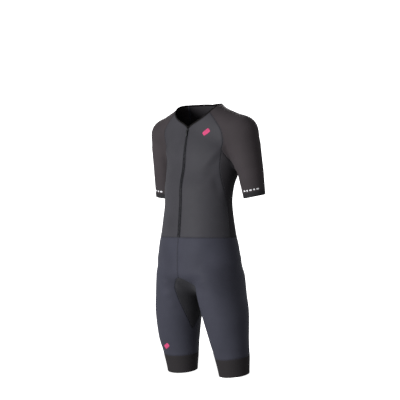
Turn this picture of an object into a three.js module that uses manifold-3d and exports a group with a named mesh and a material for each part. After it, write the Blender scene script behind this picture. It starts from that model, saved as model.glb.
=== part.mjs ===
// A short-sleeved triathlon suit as it is worn, hollow, with its front zip closed.
// Millimetres, +Z up. The front faces -Y and the wearer's left side is +X.
// The origin lies between the shoulders, level with the sides of the neckline.
import * as THREE from 'three';
import { mergeVertices } from 'three/addons/utils/BufferGeometryUtils.js';
import Module from 'manifold-3d';

const wasm = await Module();
wasm.setup();

// Cloth, seams and bands
const CLOTH_WALL = 1.6;
const SEAM_GAP = 0.3;
const WAIST_LEVEL = -463;
const SLEEVE_BAND_DEPTH = 16;
const LEG_BAND_DEPTH = 65;
const BINDING_WIDTH = 4;
const BINDING_THICKNESS = 2.4;
const BINDING_PROUD = 0.4;
const BINDING_ROUNDNESS = 0.6;

// Front zip
const ZIP_HALF_WIDTH = 5.5;
const CHAIN_HALF_WIDTH = 1.9;
const TAPE_WALL = 1.2;
const CHAIN_WALL = 2.4;
const CHAIN_PROUD = 0.9;
const STOP = { tall: 4, proud: 1.3, inset: 1 };
const SLIDER = { wide: 8.4, nose: 4.7, crown: 3.4, tall: 10, thick: 2.2, below_neck: 9 };
const BRIDGE = { wide: 2.4, long: 7.4, slant: 1, reach: 4.2, bar: 1.2, sunk: 0.2, floor: 0.4 };
const PULL = {
  wide: 6.4, waist: 4.6, tip: 5.4, long: 22, thick: 1.3, slot_wide: 3.6, slot_long: 4.6, bar: 1.3, taper: 2,
};

// Grid steps of the panels
const STEPS = {
  neck_front: 8, raglan: 6, underarm: 3, neck_back: 8, side: 10,
  sleeve_round: 18, sleeve_down: 5, shorts_round: 20, hip: 7, arch: 8, inseam: 5,
  gusset: 6, leg_band: 3, sleeve_band: 1, zip: 18, binding_round: 8,
};

// Level sections of the trunk: half width, half depth and place of the middle
const TRUNK = [
  { z: 60, wide: 60, deep: 58, mid: 10 },
  { z: 0, wide: 74, deep: 62, mid: 19 },
  { z: -40, wide: 96, deep: 78, mid: 32 },
  { z: -85, wide: 130, deep: 91, mid: 33 },
  { z: -156, wide: 152, deep: 104, mid: 31 },
  { z: -226, wide: 144, deep: 103, mid: 22 },
  { z: -286, wide: 137, deep: 100, mid: 4 },
  { z: -344, wide: 133, deep: 98, mid: 0 },
  { z: -443, wide: 147, deep: 106, mid: 0 },
  { z: -500, wide: 158, deep: 115, mid: 2 },
  { z: -570, wide: 161, deep: 120, mid: 6 },
  { z: -640, wide: 166, deep: 124, mid: 14 },
];
const FORK = { start: -585, end: -668 };

// Level sections of the left leg, with the turn of the section in degrees
const LEG = [
  { z: -560, x: 82, y: 9, wide: 77, deep: 108, turn: 0 },
  { z: -620, x: 89, y: 12, wide: 78, deep: 106, turn: 0 },
  { z: -665, x: 95, y: 14, wide: 80, deep: 100, turn: 0 },
  { z: -726, x: 106, y: 18, wide: 82, deep: 88, turn: 0 },
  { z: -825, x: 115, y: 30, wide: 70, deep: 74, turn: 30 },
  { z: -878, x: 117, y: 42, wide: 63, deep: 64.5, turn: 30 },
  { z: -945, x: 119, y: 53, wide: 54.5, deep: 54.5, turn: 30 },
  { z: -990, x: 121, y: 61, wide: 54, deep: 54, turn: 30 },
];
const LEG_TOP = { start: -605, rise: 100 };

// Balls that carry the left shoulder and arm, each joined to the next
const SHOULDER = [
  { x: 50, y: 12, z: -49, radius: 57 },
  { x: 170, y: 30, z: -97, radius: 57 },
];
const ARM = [
  { x: 170, y: 30, z: -97, radius: 57 },
  { x: 178, y: 37, z: -145, radius: 57 },
  { x: 194, y: 50, z: -232, radius: 46 },
  { x: 203, y: 61, z: -321, radius: 39 },
  { x: 214, y: 72, z: -400, radius: 36 },
];
const HEM_OF_SLEEVE = ARM[3];
const HEM_OF_LEG = -945;
const BLEND = { leg: 18, fork: 34, shoulder: 36, arm: 12 };

// Where the rows of the sleeve and the shorts have their middles
const SLEEVE_TURN = 236;
const SLEEVE_HEAD = { x: 84, y: 12, z: -58 };
const HIP_MIDDLE = 66;

// Seams of the left half, set on the form afterwards
const NECKLINE = [
  { x: 0, y: -56, z: -82 },
  { x: 22, y: -46, z: -69 },
  { x: 45, y: -45, z: -56 },
  { x: 64, y: -42, z: -43 },
  { x: 79, y: -32, z: -28 },
  { x: 87, y: -10, z: -11 },
  { x: 88, y: 12, z: -1 },
  { x: 80, y: 40, z: 5 },
  { x: 56, y: 64, z: 7 },
  { x: 0, y: 80, z: 5 },
];
const RAGLAN_FRONT = [
  { x: 79, y: -32, z: -28 },
  { x: 94, y: -34, z: -42 },
  { x: 110, y: -35, z: -60 },
  { x: 130, y: -34, z: -90 },
  { x: 131, y: -20, z: -125 },
  { x: 123, y: -24, z: -159 },
];
const ARMHOLE_FRONT = [
  { x: 123, y: -24, z: -159 },
  { x: 134, y: -13, z: -180 },
  { x: 142, y: 7, z: -200 },
  { x: 144, y: 28, z: -217 },
  { x: 146, y: 46, z: -228 },
];
const ARMHOLE_BACK = [
  { x: 80, y: 40, z: 5 },
  { x: 97, y: 70, z: -28 },
  { x: 116, y: 90, z: -70 },
  { x: 131, y: 98, z: -115 },
  { x: 140, y: 87, z: -155 },
  { x: 141, y: 75, z: -181 },
  { x: 143, y: 62, z: -207 },
  { x: 146, y: 46, z: -228 },
];
const SIDE_SEAM = [
  { x: 123, y: -24, z: -159 },
  { x: 125, y: -31, z: -208 },
  { x: 131, y: -28, z: -265 },
  { x: 136, y: -13, z: -312 },
  { x: 136, y: -2, z: -368 },
  { x: 148, y: -9, z: -463 },
];
const ARCH_FRONT = [
  { x: 0, y: -110, z: -606 },
  { x: 18, y: -104, z: -614 },
  { x: 32, y: -90, z: -636 },
  { x: 40, y: -60, z: -680 },
  { x: 37, y: -34, z: -722 },
  { x: 33, y: -8, z: -762 },
  { x: 32, y: 12, z: -790 },
];
const ARCH_BACK = [
  { x: 0, y: 105, z: -636 },
  { x: 20, y: 104, z: -645 },
  { x: 36, y: 90, z: -668 },
  { x: 38, y: 60, z: -705 },
  { x: 34, y: 36, z: -750 },
  { x: 32, y: 12, z: -790 },
];
const FORK_LINE = [
  { x: 0, y: 10, z: -668 },
  { x: 16, y: 12, z: -690 },
  { x: 25, y: 14, z: -730 },
  { x: 32, y: 12, z: -790 },
];

// Soft folds of the cloth, each along a line, with its height and spread
const FOLDS = [
  { x: 138, y: -20, z: -140, x2: 84, y2: -70, z2: -205, height: 3.5, spread: 11 },
  { x: 134, y: -24, z: -176, x2: 92, y2: -68, z2: -232, height: -3, spread: 12 },
  { x: -138, y: -20, z: -142, x2: -80, y2: -72, z2: -196, height: 3, spread: 11 },
  { x: -132, y: -24, z: -180, x2: -96, y2: -66, z2: -226, height: -3, spread: 12 },
  { x: 116, y: -46, z: -252, x2: 122, y2: -42, z2: -306, height: -3, spread: 13 },
  { x: -116, y: -46, z: -248, x2: -124, y2: -40, z2: -300, height: -3, spread: 13 },
  { x: 40, y: -92, z: -332, x2: 118, y2: -50, z2: -322, height: 2, spread: 9 },
  { x: -30, y: -94, z: -340, x2: -112, y2: -56, z2: -330, height: 2, spread: 9 },
  { x: 60, y: 92, z: -330, x2: -60, y2: 92, z2: -338, height: 2.5, spread: 12 },
  { x: 84, y: 84, z: -372, x2: -20, y2: 98, z2: -380, height: -2.5, spread: 12 },
  { x: 132, y: 92, z: -176, x2: 84, y2: 128, z2: -236, height: 3, spread: 13 },
  { x: -132, y: 92, z: -176, x2: -84, y2: 128, z2: -236, height: 3, spread: 13 },
  { x: 20, y: -100, z: -640, x2: 100, y2: -92, z2: -614, height: 2.5, spread: 11 },
  { x: -20, y: -100, z: -640, x2: -100, y2: -92, z2: -614, height: 2.5, spread: 11 },
  { x: 40, y: 118, z: -676, x2: 110, y2: 112, z2: -690, height: -3.5, spread: 13 },
  { x: -40, y: 118, z: -676, x2: -110, y2: 112, z2: -690, height: -3.5, spread: 13 },
];

// Share of a fold's length at which it starts to fade towards its ends
const FOLD_FADE = 0.12;

const FINISH = {
  front: { color: 0x3c3c40, roughness: 0.62, metalness: 0 },
  back: { color: 0x242226, roughness: 0.7, metalness: 0 },
  sleeve: { color: 0x3a3438, roughness: 0.75, metalness: 0 },
  band: { color: 0x2c2a2e, roughness: 0.7, metalness: 0 },
  shorts: { color: 0x3c3e4a, roughness: 0.5, metalness: 0 },
  gusset: { color: 0x2a2b2e, roughness: 0.8, metalness: 0 },
  binding: { color: 0x1a1416, roughness: 0.7, metalness: 0 },
  zip: { color: 0x1c1c1f, roughness: 0.5, metalness: 0 },
  metal: { color: 0x26262a, roughness: 0.35, metalness: 0.8 },
};

const point = (row) => new THREE.Vector3(row.x, row.y, row.z);
const mirrored = (p) => new THREE.Vector3(-p.x, p.y, p.z);
const mix = THREE.MathUtils.lerp;
const UP = new THREE.Vector3(0, 0, 1);
const BACKWARD = new THREE.Vector3(0, 1, 0);
const NECK_MIDDLE = new THREE.Vector3(0, 10, 40);

// One column of a table at height z, with a smooth curve through the rows
function level(table, name, z) {
  const last = table.length - 1;
  const at = THREE.MathUtils.clamp(z, table[last].z, table[0].z);
  let row = 0;
  while (row < last - 1 && table[row + 1].z > at) row += 1;
  const slope = (i) => {
    const above = table[Math.max(i - 1, 0)];
    const below = table[Math.min(i + 1, last)];
    return (above[name] - below[name]) / (above.z - below.z);
  };
  const span = table[row + 1].z - table[row].z;
  const t = (at - table[row].z) / span;
  const ease = t * t * (3 - 2 * t);
  return mix(table[row][name], table[row + 1][name], ease)
    + span * (t * (1 - t) ** 2 * slope(row) - t * t * (1 - t) * slope(row + 1));
}

// Joins two forms with a soft fillet
function join(a, b, softness) {
  const near = Math.max(softness - Math.abs(a - b), 0) / softness;
  return Math.min(a, b) - near * near * softness / 4;
}

function trunkForm(p) {
  const wide = level(TRUNK, 'wide', p.z);
  const deep = level(TRUNK, 'deep', p.z);
  const round = Math.hypot(p.x / wide, (p.y - level(TRUNK, 'mid', p.z)) / deep);
  const size = Math.sqrt(wide * deep);
  const below = Math.max(FORK.start - p.z, 0) / (FORK.start - FORK.end);
  return (round - 1) * size + below * below * size;
}

function legForm(p, side) {
  const turn = THREE.MathUtils.degToRad(level(LEG, 'turn', p.z));
  const x = side * p.x - level(LEG, 'x', p.z);
  const y = p.y - level(LEG, 'y', p.z);
  const wide = level(LEG, 'wide', p.z);
  const deep = level(LEG, 'deep', p.z);
  const across = x * Math.cos(turn) + y * Math.sin(turn);
  const along = y * Math.cos(turn) - x * Math.sin(turn);
  const above = Math.max(p.z - LEG_TOP.start, 0) / LEG_TOP.rise;
  return (Math.hypot(across / wide, along / deep) - 1) * Math.sqrt(wide * deep) + above * above * wide;
}

// A row of balls, each joined to the next by a cone
function limbForm(p, balls, side) {
  const here = new THREE.Vector3(side * p.x, p.y, p.z);
  let nearest = Infinity;
  for (let i = 0; i < balls.length - 1; i += 1) {
    const start = point(balls[i]);
    const along = point(balls[i + 1]).sub(start);
    const t = THREE.MathUtils.clamp(here.clone().sub(start).dot(along) / along.lengthSq(), 0, 1);
    const radius = mix(balls[i].radius, balls[i + 1].radius, t);
    nearest = Math.min(nearest, here.distanceTo(start.addScaledVector(along, t)) - radius);
  }
  return nearest;
}

// Below 0 inside the form that the cloth lies on, and above 0 outside it
function form(p) {
  const legs = join(legForm(p, 1), legForm(p, -1), BLEND.fork);
  let body = join(trunkForm(p), legs, BLEND.leg);
  for (const side of [1, -1]) {
    body = join(body, limbForm(p, SHOULDER, side), BLEND.shoulder);
    body = join(body, limbForm(p, ARM, side), BLEND.arm);
  }
  return body;
}

function steepest(p) {
  const step = 0.5;
  const slope = new THREE.Vector3();
  for (const axis of ['x', 'y', 'z']) {
    const ahead = p.clone();
    const behind = p.clone();
    ahead[axis] += step;
    behind[axis] -= step;
    slope[axis] = (form(ahead) - form(behind)) / (2 * step);
  }
  return slope;
}

const outward = (p) => steepest(p).normalize();

// Moves a point straight onto the form
function settle(p) {
  const placed = p.clone();
  for (let pass = 0; pass < 12; pass += 1) {
    const slope = steepest(placed);
    placed.addScaledVector(slope, -form(placed) / Math.max(slope.lengthSq(), 0.2));
  }
  return placed;
}

// First point of the form on a line that starts inside it
function cast(start, direction) {
  const way = direction.clone().normalize();
  let inside = 0;
  let outside = 0;
  const at = (reach) => form(start.clone().addScaledVector(way, reach));
  while (at(outside) < 0 && outside < 500) {
    inside = outside;
    outside += 4;
  }
  for (let pass = 0; pass < 24; pass += 1) {
    const middle = (inside + outside) / 2;
    if (at(middle) < 0) inside = middle;
    else outside = middle;
  }
  return start.clone().addScaledVector(way, outside);
}

// A smooth line through a table of points, cut into equal steps and set on the form
function seam(table, steps) {
  const line = new THREE.CatmullRomCurve3(table.map(point));
  return line.getSpacedPoints(steps).map(settle);
}

// Part of a line between two of its table rows
function stretch(table, first, last, steps) {
  return seam(table.slice(first, last + 1), steps);
}

const levels = (from, to, steps) => Array.from({ length: steps + 1 }, (_, i) => mix(from, to, i / steps));

// How far the folds lift the cloth at a point
function relief(p) {
  let lift = 0;
  for (const fold of FOLDS) {
    const start = point(fold);
    const along = new THREE.Vector3(fold.x2, fold.y2, fold.z2).sub(start);
    const t = p.clone().sub(start).dot(along) / along.lengthSq();
    const held = THREE.MathUtils.clamp(t, 0, 1);
    const far = p.distanceTo(start.addScaledVector(along, held)) / fold.spread;
    lift += fold.height * Math.exp(-far * far) * Math.sin(Math.PI * mix(FOLD_FADE, 1 - FOLD_FADE, held));
  }
  return lift;
}

// Joins grids of points into one surface that shares the points where the grids meet
function surface(grids) {
  const points = [];
  const faces = [];
  const places = new Map();
  const place = (p) => {
    const key = p.toArray().map((v) => Math.round(v * 50)).join();
    if (!places.has(key)) places.set(key, points.push(p) - 1);
    return places.get(key);
  };
  for (const grid of grids) {
    const index = grid.map((row) => row.map(place));
    const i = Math.floor(grid.length / 2) - 1;
    const j = Math.floor(grid[0].length / 2) - 1;
    const down = grid[i + 1][j].clone().sub(grid[i][j]);
    const right = grid[i][j + 1].clone().sub(grid[i][j]);
    const flip = down.cross(right).dot(outward(grid[i][j])) < 0;
    const face = (a, b, c) => {
      if (a !== b && b !== c && c !== a) faces.push(flip ? [c, b, a] : [a, b, c]);
    };
    for (let row = 0; row < grid.length - 1; row += 1) {
      for (let column = 0; column < grid[0].length - 1; column += 1) {
        const [a, b] = [index[row][column], index[row + 1][column]];
        const [c, d] = [index[row + 1][column + 1], index[row][column + 1]];
        face(a, b, c);
        face(a, c, d);
      }
    }
  }
  return { points, faces };
}

// The edges that only one face has, each running with its face on the left
function borders({ faces }) {
  const edges = new Map();
  for (const [a, b, c] of faces) {
    for (const [from, to] of [[a, b], [b, c], [c, a]]) {
      if (!edges.delete(`${to} ${from}`)) edges.set(`${from} ${to}`, [from, to]);
    }
  }
  return [...edges.values()];
}

// How far each point on a border draws back from its seam
function drawnBack({ points }, edges, normals) {
  const ways = points.map(() => []);
  for (const [from, to] of edges) {
    const along = points[to].clone().sub(points[from]).normalize();
    for (const end of [from, to]) ways[end].push(normals[end].clone().cross(along).normalize());
  }
  return ways.map((pair) => {
    if (pair.length < 2) return new THREE.Vector3();
    const both = Math.max(1 + pair[0].dot(pair[1]), 0.35);
    return pair[0].clone().add(pair[1]).multiplyScalar(SEAM_GAP / 2 / both);
  });
}

function mesh(name, geometry, finish) {
  const made = new THREE.Mesh(geometry, new THREE.MeshStandardMaterial(finish));
  made.name = name;
  return made;
}

// A cloth piece with an even wall, from grids of points that lie on the form
function cloth(name, grids, finish, thickness = CLOTH_WALL, proud = 0) {
  const sheet = surface(grids);
  const edges = borders(sheet);
  const normals = sheet.points.map(outward);
  const draws = drawnBack(sheet, edges, normals);
  const moved = (depth) => sheet.points.map((p, i) => (
    p.clone().add(draws[i]).addScaledVector(normals[i], relief(p) + depth)
  ));
  const count = sheet.points.length;
  const faces = sheet.faces.flatMap(([a, b, c]) => [a, b, c, c + count, b + count, a + count]);
  for (const [a, b] of edges) {
    const split = sheet.points[a].z < sheet.points[b].z;
    faces.push(b, a, split ? a + count : b + count);
    faces.push(split ? b : a, a + count, b + count);
  }
  const positions = [...moved(proud), ...moved(proud - thickness)].flatMap((p) => p.toArray());
  const geometry = new THREE.BufferGeometry();
  geometry.setAttribute('position', new THREE.Float32BufferAttribute(positions, 3));
  geometry.setIndex(faces);
  geometry.computeVertexNormals();
  return mesh(name, geometry, finish);
}

const mirroredGrid = (grid) => grid.map((row) => row.map(mirrored));

function pair(name, grid, finish) {
  return [cloth(`${name}_left`, [grid], finish), cloth(`${name}_right`, [mirroredGrid(grid)], finish)];
}

// Point of the trunk at a level, in the direction of a turn from straight ahead
function trunkPoint(turn, z) {
  const middle = new THREE.Vector3(0, level(TRUNK, 'mid', z), z);
  return cast(middle, new THREE.Vector3(Math.sin(turn), -Math.cos(turn), 0));
}

const turnOf = (p) => Math.atan2(p.x, level(TRUNK, 'mid', p.z) - p.y);

// Point of the front at a place beside the zip
function besideZip(x, z) {
  return settle(cast(new THREE.Vector3(x, level(TRUNK, 'mid', z), z), new THREE.Vector3(0, -1, 0)));
}

// Point of a seam table at a level, set level on the trunk
function seamAtLevel(table, z) {
  return trunkPoint(turnOf({ x: level(table, 'x', z), y: level(table, 'y', z), z }), z);
}

// Fills the space between four edges, by turn and height, with points of the trunk
function filled(bottom, top, first, last) {
  const place = (p) => ({ turn: p.x === 0 && p.y > 0 ? Math.PI : turnOf(p), z: p.z });
  const [low, high, start, end] = [bottom, top, first, last].map((edge) => edge.map(place));
  const rows = start.length - 1;
  const columns = low.length - 1;
  return start.map((_, i) => low.map((__, j) => {
    if (i === 0) return bottom[j].clone();
    if (i === rows) return top[j].clone();
    if (j === 0) return first[i].clone();
    if (j === columns) return last[i].clone();
    const [u, v] = [j / columns, i / rows];
    const at = (name) => mix(low[j][name], high[j][name], v) + mix(start[i][name], end[i][name], u)
      - mix(mix(low[0][name], low[columns][name], u), mix(high[0][name], high[columns][name], u), v);
    return trunkPoint(at('turn'), at('z'));
  }));
}

// Frames down a limb: middle, direction towards the body and way outwards
function frame(middle, rising) {
  const up = rising.clone().normalize();
  const back = BACKWARD.clone().addScaledVector(up, -BACKWARD.dot(up)).normalize();
  return { middle, up, back, out: back.clone().cross(up) };
}

function turnAbout(place, p) {
  const way = p.clone().sub(place.middle);
  const across = Math.hypot(way.dot(place.out), way.dot(place.back));
  return { turn: Math.atan2(way.dot(place.back), way.dot(place.out)), lean: way.dot(place.up) / across };
}

function limbPoint(place, turn, lean) {
  const way = place.out.clone().multiplyScalar(Math.cos(turn));
  way.addScaledVector(place.back, Math.sin(turn)).addScaledVector(place.up, lean);
  return cast(place.middle, way);
}

// One row round a limb, outside, from its front edge to its back edge
function rowRound(place, front, back, steps) {
  const from = turnAbout(place, front);
  const to = turnAbout(place, back);
  if (from.turn > 0) from.turn -= 2 * Math.PI;
  if (to.turn < 0) to.turn += 2 * Math.PI;
  const row = levels(0, 1, steps).map((t) => (
    limbPoint(place, mix(from.turn, to.turn, t), mix(from.lean, to.lean, t))
  ));
  row[0] = front.clone();
  row[steps] = back.clone();
  return row;
}

// One row right round a limb, level with the limb, with its ends at a seam
function ringRound(place, seamTurn, steps) {
  return levels(seamTurn - 2 * Math.PI, seamTurn, steps).map((turn) => limbPoint(place, turn, 0));
}

const legMiddle = (z) => new THREE.Vector3(level(LEG, 'x', z), level(LEG, 'y', z), z);

const hemFrame = frame(legMiddle(HEM_OF_LEG), legMiddle(HEM_OF_LEG + 40).sub(legMiddle(HEM_OF_LEG)));

// Seam lines that neighbouring pieces share
const neckFront = stretch(NECKLINE, 0, 4, STEPS.neck_front);
const neckSleeve = stretch(NECKLINE, 4, 7, STEPS.sleeve_round);
const neckBack = stretch(NECKLINE, 7, 9, STEPS.neck_back);
const raglanFront = seam(RAGLAN_FRONT, STEPS.raglan);
const armholeFront = seam(ARMHOLE_FRONT, STEPS.underarm);
const armholeBack = seam(ARMHOLE_BACK, STEPS.raglan + STEPS.underarm);
const archFront = seam(ARCH_FRONT, STEPS.arch);
const archBack = seam(ARCH_BACK, STEPS.arch);
const forkLine = seam(FORK_LINE, STEPS.arch);
const underarm = armholeBack[armholeBack.length - 1];
neckFront[0] = besideZip(ZIP_HALF_WIDTH, neckFront[0].z);

// The waist seam from one turn to another
const waistLine = (from, to, steps) => levels(from, to, steps).map((turn) => trunkPoint(turn, WAIST_LEVEL));

const sideSeam = levels(WAIST_LEVEL, raglanFront[STEPS.raglan].z, STEPS.side).map((z) => (
  seamAtLevel(SIDE_SEAM, z)
));
sideSeam[STEPS.side] = raglanFront[STEPS.raglan].clone();

function frontGrid() {
  const outer = [...sideSeam, ...[...raglanFront].reverse().slice(1)];
  const heights = levels(WAIST_LEVEL, neckFront[0].z, outer.length - 1);
  const zip = heights.map((z) => besideZip(ZIP_HALF_WIDTH, z));
  const waist = waistLine(turnOf(zip[0]), turnOf(sideSeam[0]), STEPS.neck_front);
  return filled(waist, neckFront, zip, outer);
}

// The back in a lower part, up to the level of the underarm, and an upper part
function backGrids() {
  const shoulderLevel = underarm.z;
  const turns = levels(turnOf(underarm), Math.PI, STEPS.neck_back);
  const across = turns.map((turn) => trunkPoint(turn, shoulderLevel));
  across[0] = underarm.clone();
  const middle = (from, to, steps) => levels(from, to, steps).map((z) => trunkPoint(Math.PI, z));
  const waist = waistLine(turnOf(sideSeam[0]), Math.PI, STEPS.underarm + STEPS.neck_back);
  const lowerTop = [...armholeFront.slice(0, -1), ...across];
  const lower = filled(waist, lowerTop, sideSeam, middle(WAIST_LEVEL, shoulderLevel, STEPS.side));
  const neckMiddle = neckBack[STEPS.neck_back].z;
  const upperSide = [...armholeBack].reverse();
  const upperMiddle = middle(shoulderLevel, neckMiddle, upperSide.length - 1);
  const upper = filled(across, neckBack, upperSide, upperMiddle);
  return [lower, upper, mirroredGrid(lower), mirroredGrid(upper)];
}

// Middle line of the sleeve, from the underarm up and over towards the neck
const armAxis = point(ARM[1]).sub(point(HEM_OF_SLEEVE)).normalize();

function alongArm(reach) {
  return point(HEM_OF_SLEEVE).addScaledVector(armAxis, reach);
}

const underarmReach = underarm.clone().sub(point(HEM_OF_SLEEVE)).dot(armAxis);
const sleeveBend = new THREE.QuadraticBezierCurve3(
  alongArm(underarmReach),
  alongArm(SLEEVE_TURN),
  point(SLEEVE_HEAD),
);

function sleeveGrid() {
  const fronts = [...raglanFront, ...armholeFront.slice(1)];
  const rows = [neckSleeve];
  const last = fronts.length - 1;
  for (let k = 1; k <= last; k += 1) {
    const t = 1 - k / last;
    const place = frame(sleeveBend.getPoint(t), sleeveBend.getTangent(t));
    rows.push(rowRound(place, fronts[k], armholeBack[k], STEPS.sleeve_round));
  }
  const start = turnAbout(frame(alongArm(underarmReach), armAxis), underarm);
  const seamTurn = start.turn < 0 ? start.turn + 2 * Math.PI : start.turn;
  for (const reach of levels(underarmReach, SLEEVE_BAND_DEPTH, STEPS.sleeve_down).slice(1)) {
    rows.push(ringRound(frame(alongArm(reach), armAxis), seamTurn, STEPS.sleeve_round));
  }
  return { rows, seamTurn };
}

function bandGrid(frames, seamTurn, steps) {
  return frames.map((place) => ringRound(place, seamTurn, steps));
}

// Frames of the leg rows, level at the waist and square to the leg at the band
function legFrames() {
  const tip = archFront[archFront.length - 1];
  const bandTop = hemFrame.middle.clone().addScaledVector(hemFrame.up, LEG_BAND_DEPTH);
  const heights = [
    ...levels(WAIST_LEVEL, archFront[0].z, STEPS.hip),
    ...levels(archFront[0].z, tip.z, STEPS.arch).slice(1),
    ...levels(tip.z, bandTop.z, STEPS.inseam).slice(1),
  ];
  return heights.map((z) => {
    const share = THREE.MathUtils.smoothstep(-z, -archFront[0].z, -bandTop.z);
    const inner = THREE.MathUtils.smoothstep(-z, -WAIST_LEVEL, -tip.z);
    const middle = legMiddle(z);
    middle.x = mix(HIP_MIDDLE, middle.x, inner);
    if (z === bandTop.z) middle.copy(bandTop);
    return frame(middle, UP.clone().lerp(hemFrame.up, share));
  });
}

function shortsGrid(frames) {
  const hipFront = levels(WAIST_LEVEL, archFront[0].z, STEPS.hip).map((z) => besideZip(0, z));
  const backZ = levels(WAIST_LEVEL, archBack[0].z, STEPS.hip);
  const hipBack = backZ.map((z) => settle(trunkPoint(Math.PI, z)));
  const fronts = [...hipFront.slice(0, -1), ...archFront];
  const backs = [...hipBack.slice(0, -1), ...archBack];
  const rows = fronts.map((front, k) => rowRound(frames[k], front, backs[k], STEPS.shorts_round));
  rows[0] = rowRound(frames[0], hipFront[0], hipBack[0], STEPS.shorts_round);
  const tip = turnAbout(frames[fronts.length - 1], archFront[archFront.length - 1]);
  const seamTurn = tip.turn < 0 ? tip.turn + 2 * Math.PI : tip.turn;
  for (const place of frames.slice(fronts.length)) {
    rows.push(ringRound(place, seamTurn, STEPS.shorts_round));
  }
  return { rows, seamTurn };
}

// The gusset's rows run from its front edge under the crotch to its back edge
function gussetGrid() {
  const across = archFront.map((front, k) => levels(0, 1, STEPS.gusset).map((t) => {
    if (t === 0) return front.clone();
    if (t === 1) return archBack[k].clone();
    const p = front.clone().multiplyScalar((1 - t) * (1 - 2 * t));
    p.addScaledVector(forkLine[k], 4 * t * (1 - t));
    p.addScaledVector(archBack[k], t * (2 * t - 1));
    return settle(p);
  }));
  const last = across.length - 1;
  across[last] = across[last - 1].map((p) => p.clone().lerp(archFront[last], 0.8));
  const right = across.slice(1).reverse().map((row) => row.map(mirrored));
  return [...right, ...across];
}

// Turns a circle's sine or cosine into that of a rounded square
const squared = (share) => Math.sign(share) * Math.abs(share) ** BINDING_ROUNDNESS;

// The neckline's binding, a rounded strip that follows the edges of the panels
function binding() {
  const left = [...neckFront, ...neckSleeve.slice(1), ...neckBack.slice(1)];
  const line = [...left, ...left.slice(0, -1).reverse().map(mirrored)];
  const rings = line.map((p, i) => {
    const normal = outward(p);
    const along = line[Math.min(i + 1, line.length - 1)].clone().sub(line[Math.max(i - 1, 0)]).normalize();
    const inward = along.clone().cross(normal).normalize();
    if (inward.dot(NECK_MIDDLE.clone().sub(p)) < 0) inward.negate();
    const middle = p.clone().addScaledVector(inward, (SEAM_GAP + BINDING_WIDTH) / 2);
    middle.addScaledVector(normal, relief(p) + BINDING_PROUD - CLOTH_WALL / 2);
    return levels(0, 2 * Math.PI, STEPS.binding_round).slice(0, -1).map((turn) => {
      const wide = squared(Math.cos(turn)) * BINDING_WIDTH / 2;
      const thick = squared(Math.sin(turn)) * BINDING_THICKNESS / 2;
      return middle.clone().addScaledVector(inward, wide).addScaledVector(normal, thick);
    });
  });
  return mesh('neck_binding', tube(rings), FINISH.binding);
}

// A closed tube from rings of points, with flat ends
function tube(rings) {
  const round = rings[0].length;
  const positions = rings.flat().flatMap((p) => p.toArray());
  const faces = [];
  for (let i = 0; i < rings.length - 1; i += 1) {
    for (let j = 0; j < round; j += 1) {
      const a = i * round + j;
      const b = i * round + ((j + 1) % round);
      faces.push(a, b, b + round, a, b + round, a + round);
    }
  }
  const end = (rings.length - 1) * round;
  for (let j = 1; j < round - 1; j += 1) {
    faces.push(0, j + 1, j);
    faces.push(end, end + j, end + j + 1);
  }
  const geometry = new THREE.BufferGeometry();
  geometry.setAttribute('position', new THREE.Float32BufferAttribute(positions, 3));
  geometry.setIndex(faces);
  const [a, b, c] = [rings[0][0], rings[0][1], rings[1][1]];
  const middle = rings[0].reduce((sum, p) => sum.add(p), new THREE.Vector3()).divideScalar(round);
  const facing = b.clone().sub(a).cross(c.clone().sub(a)).dot(a.clone().sub(middle));
  if (facing < 0) geometry.setIndex(faces.reverse());
  geometry.computeVertexNormals();
  return geometry;
}

// An upright strip of the zip between two places beside its middle
function zipStrip(name, fromX, toX, bottom, top, thickness, proud) {
  const grid = levels(bottom, top, STEPS.zip).map((z) => [fromX, toX].map((x) => besideZip(x, z)));
  return cloth(name, [grid], FINISH.zip, thickness, proud);
}

function zipStop() {
  const top = WAIST_LEVEL + STOP.tall;
  const reach = ZIP_HALF_WIDTH - STOP.inset;
  const grid = levels(WAIST_LEVEL, top, 1).map((z) => (
    levels(-reach, reach, 2).map((x) => besideZip(x, z))
  ));
  return cloth('zip_stop', [grid], FINISH.metal, CHAIN_WALL, STOP.proud);
}

const toSolid = (geometry) => {
  const bare = geometry.clone();
  bare.deleteAttribute('normal');
  bare.deleteAttribute('uv');
  const merged = mergeVertices(bare, 1e-4);
  return new wasm.Manifold(new wasm.Mesh({
    numProp: 3,
    vertProperties: merged.attributes.position.array,
    triVerts: new Uint32Array(merged.index.array),
  }));
};

const toGeometry = (solid) => {
  const made = solid.getMesh();
  const geometry = new THREE.BufferGeometry();
  geometry.setAttribute('position', new THREE.BufferAttribute(made.vertProperties, 3));
  geometry.setIndex(new THREE.BufferAttribute(made.triVerts, 1));
  geometry.computeVertexNormals();
  return geometry;
};

// The slider and its pull share a frame: x across, y up the zip, z out from the cloth
const bridgeFoot = SLIDER.thick - BRIDGE.sunk;
const hingeHeight = bridgeFoot + (BRIDGE.floor + BRIDGE.reach - BRIDGE.bar) / 2;

const extruded = (shape, depth) => new THREE.ExtrudeGeometry(shape, {
  depth, bevelEnabled: false, curveSegments: 6,
});

function sliderShape() {
  const { wide, nose, crown, tall } = SLIDER;
  const outline = new THREE.Shape();
  outline.moveTo(-nose / 2, -tall / 2);
  outline.lineTo(nose / 2, -tall / 2);
  outline.quadraticCurveTo(wide * 0.42, -tall * 0.1, wide / 2, tall * 0.2);
  outline.quadraticCurveTo(wide / 2, tall / 2, crown / 2, tall / 2);
  outline.lineTo(-crown / 2, tall / 2);
  outline.quadraticCurveTo(-wide / 2, tall / 2, -wide / 2, tall * 0.2);
  outline.quadraticCurveTo(-wide * 0.42, -tall * 0.1, -nose / 2, -tall / 2);
  return outline;
}

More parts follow.
